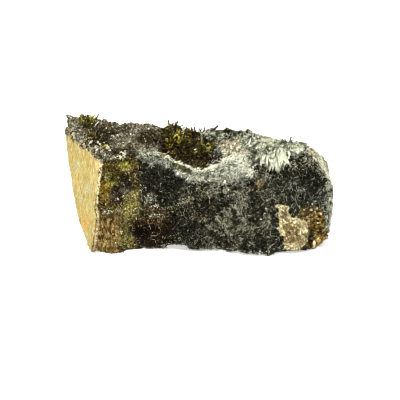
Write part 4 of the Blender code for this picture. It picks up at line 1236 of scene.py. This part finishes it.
def build_grains(ground):
    """Pale lumps along the left rim, sugary grains in the hollows, and dark and olive ones between."""
    rng = np.random.default_rng(137)
    points, shares, spots = ground.points, ground.shares, ground.spots
    clumps = 0.5 + noise_at(points, 1.4, 97.0)
    skin = ground.front + ground.top
    pale = tinted_material("pale_grain", 0.6, 0.35, Specular_IOR_Level=0.3)
    lumps = skin * (spots["rim_lumps"] + 0.7 * spots["corner"]) * (0.6 + noise_at(points, 1.2, 93.0))
    scatter_grains("rim_lumps", ground, rng, 190, lumps, (0.5, 1.25), (0.2, 0.88), (0.4, 1.0), pale)
    foot = ground.front * (1.0 - ease(0.8, 1.8, points[:, 2])) * (1.0 - ease(-17.0, -15.0, points[:, 0]))
    density = 0.55 * shares["mauve"] + 0.8 * shares["cream"] + 0.5 * foot
    density = density + 0.12 * shares["moss"] + 0.05 * shares["tan"]
    # fewer pale grains in the painted shade
    density = clumps * density * (1.0 - 0.7 * shares["shade"]) * (1.0 - 0.8 * shares["umber"])
    density = density + 1.6 * (skin * spots["white_clusters"]) + 0.25 * skin * spots["white_mass"]
    scatter_grains("pale_grains", ground, rng, 3200, density, (0.18, 0.62), (0.1, 0.92), (0.1, 1.0), pale)
    build_sparkles(ground, rng, pale)

    dark = tinted_material("dark_grain", 0.6, 0.3, Specular_IOR_Level=0.1)
    spread = shares["olive"] + 0.25 * shares["tan"] + 0.8 * shares["brown"] + 0.9 * shares["moss"]
    spread = spread + 0.5 * shares["mauve"] + 0.05 * ground.front
    spread = spread + 0.3 * (1.0 - shares["cleaved"]) * (1.0 - ground.front) * (1.0 - ground.top)
    spread = spread * (1.0 - 0.75 * np.maximum(shares["umber"], shares["plum"])) * clumps
    scatter_grains("olive_grains", ground, rng, 3000, spread, (0.2, 0.65), (0.0, 1.0), (0.0, 0.9), dark)


def build_sparkles(ground, rng, material):
    """Single bright grains on the dark felt."""
    near = [ground.nearest(place, ground.front) for place in SPARKLES]
    count = len(near)
    turns = turns_along(unit(rng.normal(size=(count, 3))), np.zeros(count))
    sizes = rng.uniform(0.35, 0.5, (count, 3))
    middles = ground.points[near] + 0.3 * ground.normals[near]
    shapes = [chunk_shape(rng, 9)]
    mesh = copies_mesh("sparkles", rng, shapes, middles, turns, sizes, np.ones(count), np.zeros(count))
    new_piece("sparkles", mesh, material)


# The cream lump


def lump_material():
    material, tree, shader, where = new_material("sugary_cream", 0.5, Specular_IOR_Level=0.3)
    grit = cloud(tree, where, 0.45, 4.0, 0.7)
    patches = cloud(tree, where, 2.2, 2.0)
    cream, brown = [ramp(tree, grit, stops) for stops in LUMP_LOOKS]
    # brown for the stains and for the painted shadow on the side next to the pocket
    share = plus(tree, share_of(tree, "stain_and_shadow"), times(tree, plus(tree, patches, -0.5), 1.2))
    colour = layered(tree, steps(tree, share, 0.3, 0.7), cream, brown)
    tree.links.new(colour, shader.inputs["Base Color"])
    add_bump(tree, shader, plus(tree, grit, cells(tree, where, 0.3)))
    return material


def build_lump():
    """The cream lump and its spike: a sugary surface of small chips, tan in its middle, with a painted shadow
    beside the pocket.
    """
    rng = np.random.default_rng(139)
    mesh = remeshed_copy("feldspar_lump", LUMP_CELL, "cream_lump")
    points, normals = coordinates(mesh), point_vectors(mesh, "normal")
    relief = -0.1 + 0.25 * chips_at(points, 0.9, 2.0) + 0.12 * noise_at(points, 0.4)
    relief = relief + 0.35 * noise_at(points, 1.6, 4.0)
    set_coordinates(mesh, inside_box(points + normals * relief[:, None]))
    wander = np.stack([noise_at(points, 1.3, shift) for shift in (15.0, 25.0)], axis=1)
    places = seen_places(points) + 0.9 * wander
    # brown where stained, and a painted shadow on the side next to the pocket
    stain_and_shadow = np.max([strength * in_oval(places, oval, core=0.6) for strength, oval in STAINS_AND_SHADOW], axis=0)
    add_values(mesh, "stain_and_shadow", stain_and_shadow)
    map_on_cube(mesh, points)
    lump = new_piece("cream_lump", mesh, lump_material())
    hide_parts("feldspar_lump")
    sugar = tinted_material("sugar_grain", 0.45, 0.25, Specular_IOR_Level=0.3)
    density = (1.0 - 0.8 * stain_and_shadow) * (points[:, 2] > 0.8)
    ground = Ground(mesh, normals)
    scatter_grains("sugar_grains", ground, rng, 900, density, (0.15, 0.5), (0.0, 1.0), (0.0, 1.0), sugar)


# Camera, floor and light


def build_camera():
    elevation = math.radians(CAMERA_ELEVATION)
    target = Vector(CAMERA_TARGET) * MM
    back = Vector((0.0, -math.cos(elevation), math.sin(elevation)))
    camera = add_object("camera", bpy.data.cameras.new("camera"))
    camera.location = target + back * CAMERA_DISTANCE * MM
    camera.rotation_euler = (-back).to_track_quat('-Z', 'Y').to_euler()
    camera.data.sensor_width = 36.0
    camera.data.lens = CAMERA_LENS
    camera.data.clip_start = 0.01
    bpy.context.scene.camera = camera


def build_floor():
    bm = bmesh.new()
    bmesh.ops.create_grid(bm, x_segments=1, y_segments=1, size=3.0)
    mesh = bpy.data.meshes.new("floor")
    bm.to_mesh(mesh)
    bm.free()
    floor = add_object("floor", mesh)
    material, tree, shader, where = new_material("white_floor", 0.6)
    paper = ramp(tree, cloud(tree, where, 40.0), [(0.3, 0.58, 0.58, 0.58), (0.7, 0.62, 0.62, 0.62)])
    tree.links.new(paper, shader.inputs["Base Color"])
    shader.inputs["Emission Color"].default_value = (1.0, 1.0, 1.0, 1.0)
    shader.inputs["Emission Strength"].default_value = FLOOR_GLOW
    mesh.materials.append(material)


def build_light():
    for name, (place, size, power, colour) in LIGHTS.items():
        light = add_object(name, bpy.data.lights.new(name, 'AREA'))
        light.location = Vector(place)
        light.rotation_euler = (-Vector(place)).to_track_quat('-Z', 'Y').to_euler()
        light.data.shape = 'DISK'
        light.data.size = size
        light.data.energy = power
        light.data.color = colour
    world = bpy.data.worlds.new("studio")
    world.use_nodes = True
    tree = world.node_tree
    background = tree.nodes["Background"]
    background.inputs["Color"].default_value = (1.0, 1.0, 1.0, 1.0)
    seen = add_node(tree, 'ShaderNodeLightPath').outputs["Is Camera Ray"]
    inputs = {"Value": seen, "To Min": SURROUNDINGS[0], "To Max": SURROUNDINGS[1]}
    strength = add_node(tree, 'ShaderNodeMapRange', inputs)
    tree.links.new(strength.outputs["Result"], background.inputs["Strength"])
    bpy.context.scene.world = world
    bpy.context.scene.view_settings.view_transform = 'Standard'


def build_scene():
    noise.seed_set(NOISE_SEED)
    bpy.context.scene.cycles.filter_width = PIXEL_FILTER
    build_camera()
    build_floor()
    build_light()
    ground = build_rock()
    fibre = tinted_material("fine_fibre", 0.8, Specular_IOR_Level=0.03)
    build_front_felt(ground, fibre)
    build_top_felt(ground, fibre)
    build_rear_felt(ground, fibre)
    build_fringe(ground, fibre)
    build_rim_line(ground, fibre)
    build_edge_mat(ground, fibre)
    epidote = tinted_material("epidote_prism", 0.22, IOR=1.7, Specular_IOR_Level=0.2)
    build_spray(ground, epidote)
    build_basin(ground, epidote)
    build_pocket(ground, tinted_material("amber_prism", 0.25, IOR=1.55, Transmission_Weight=0.15))
    build_grains(ground)
    build_lump()


build_scene()
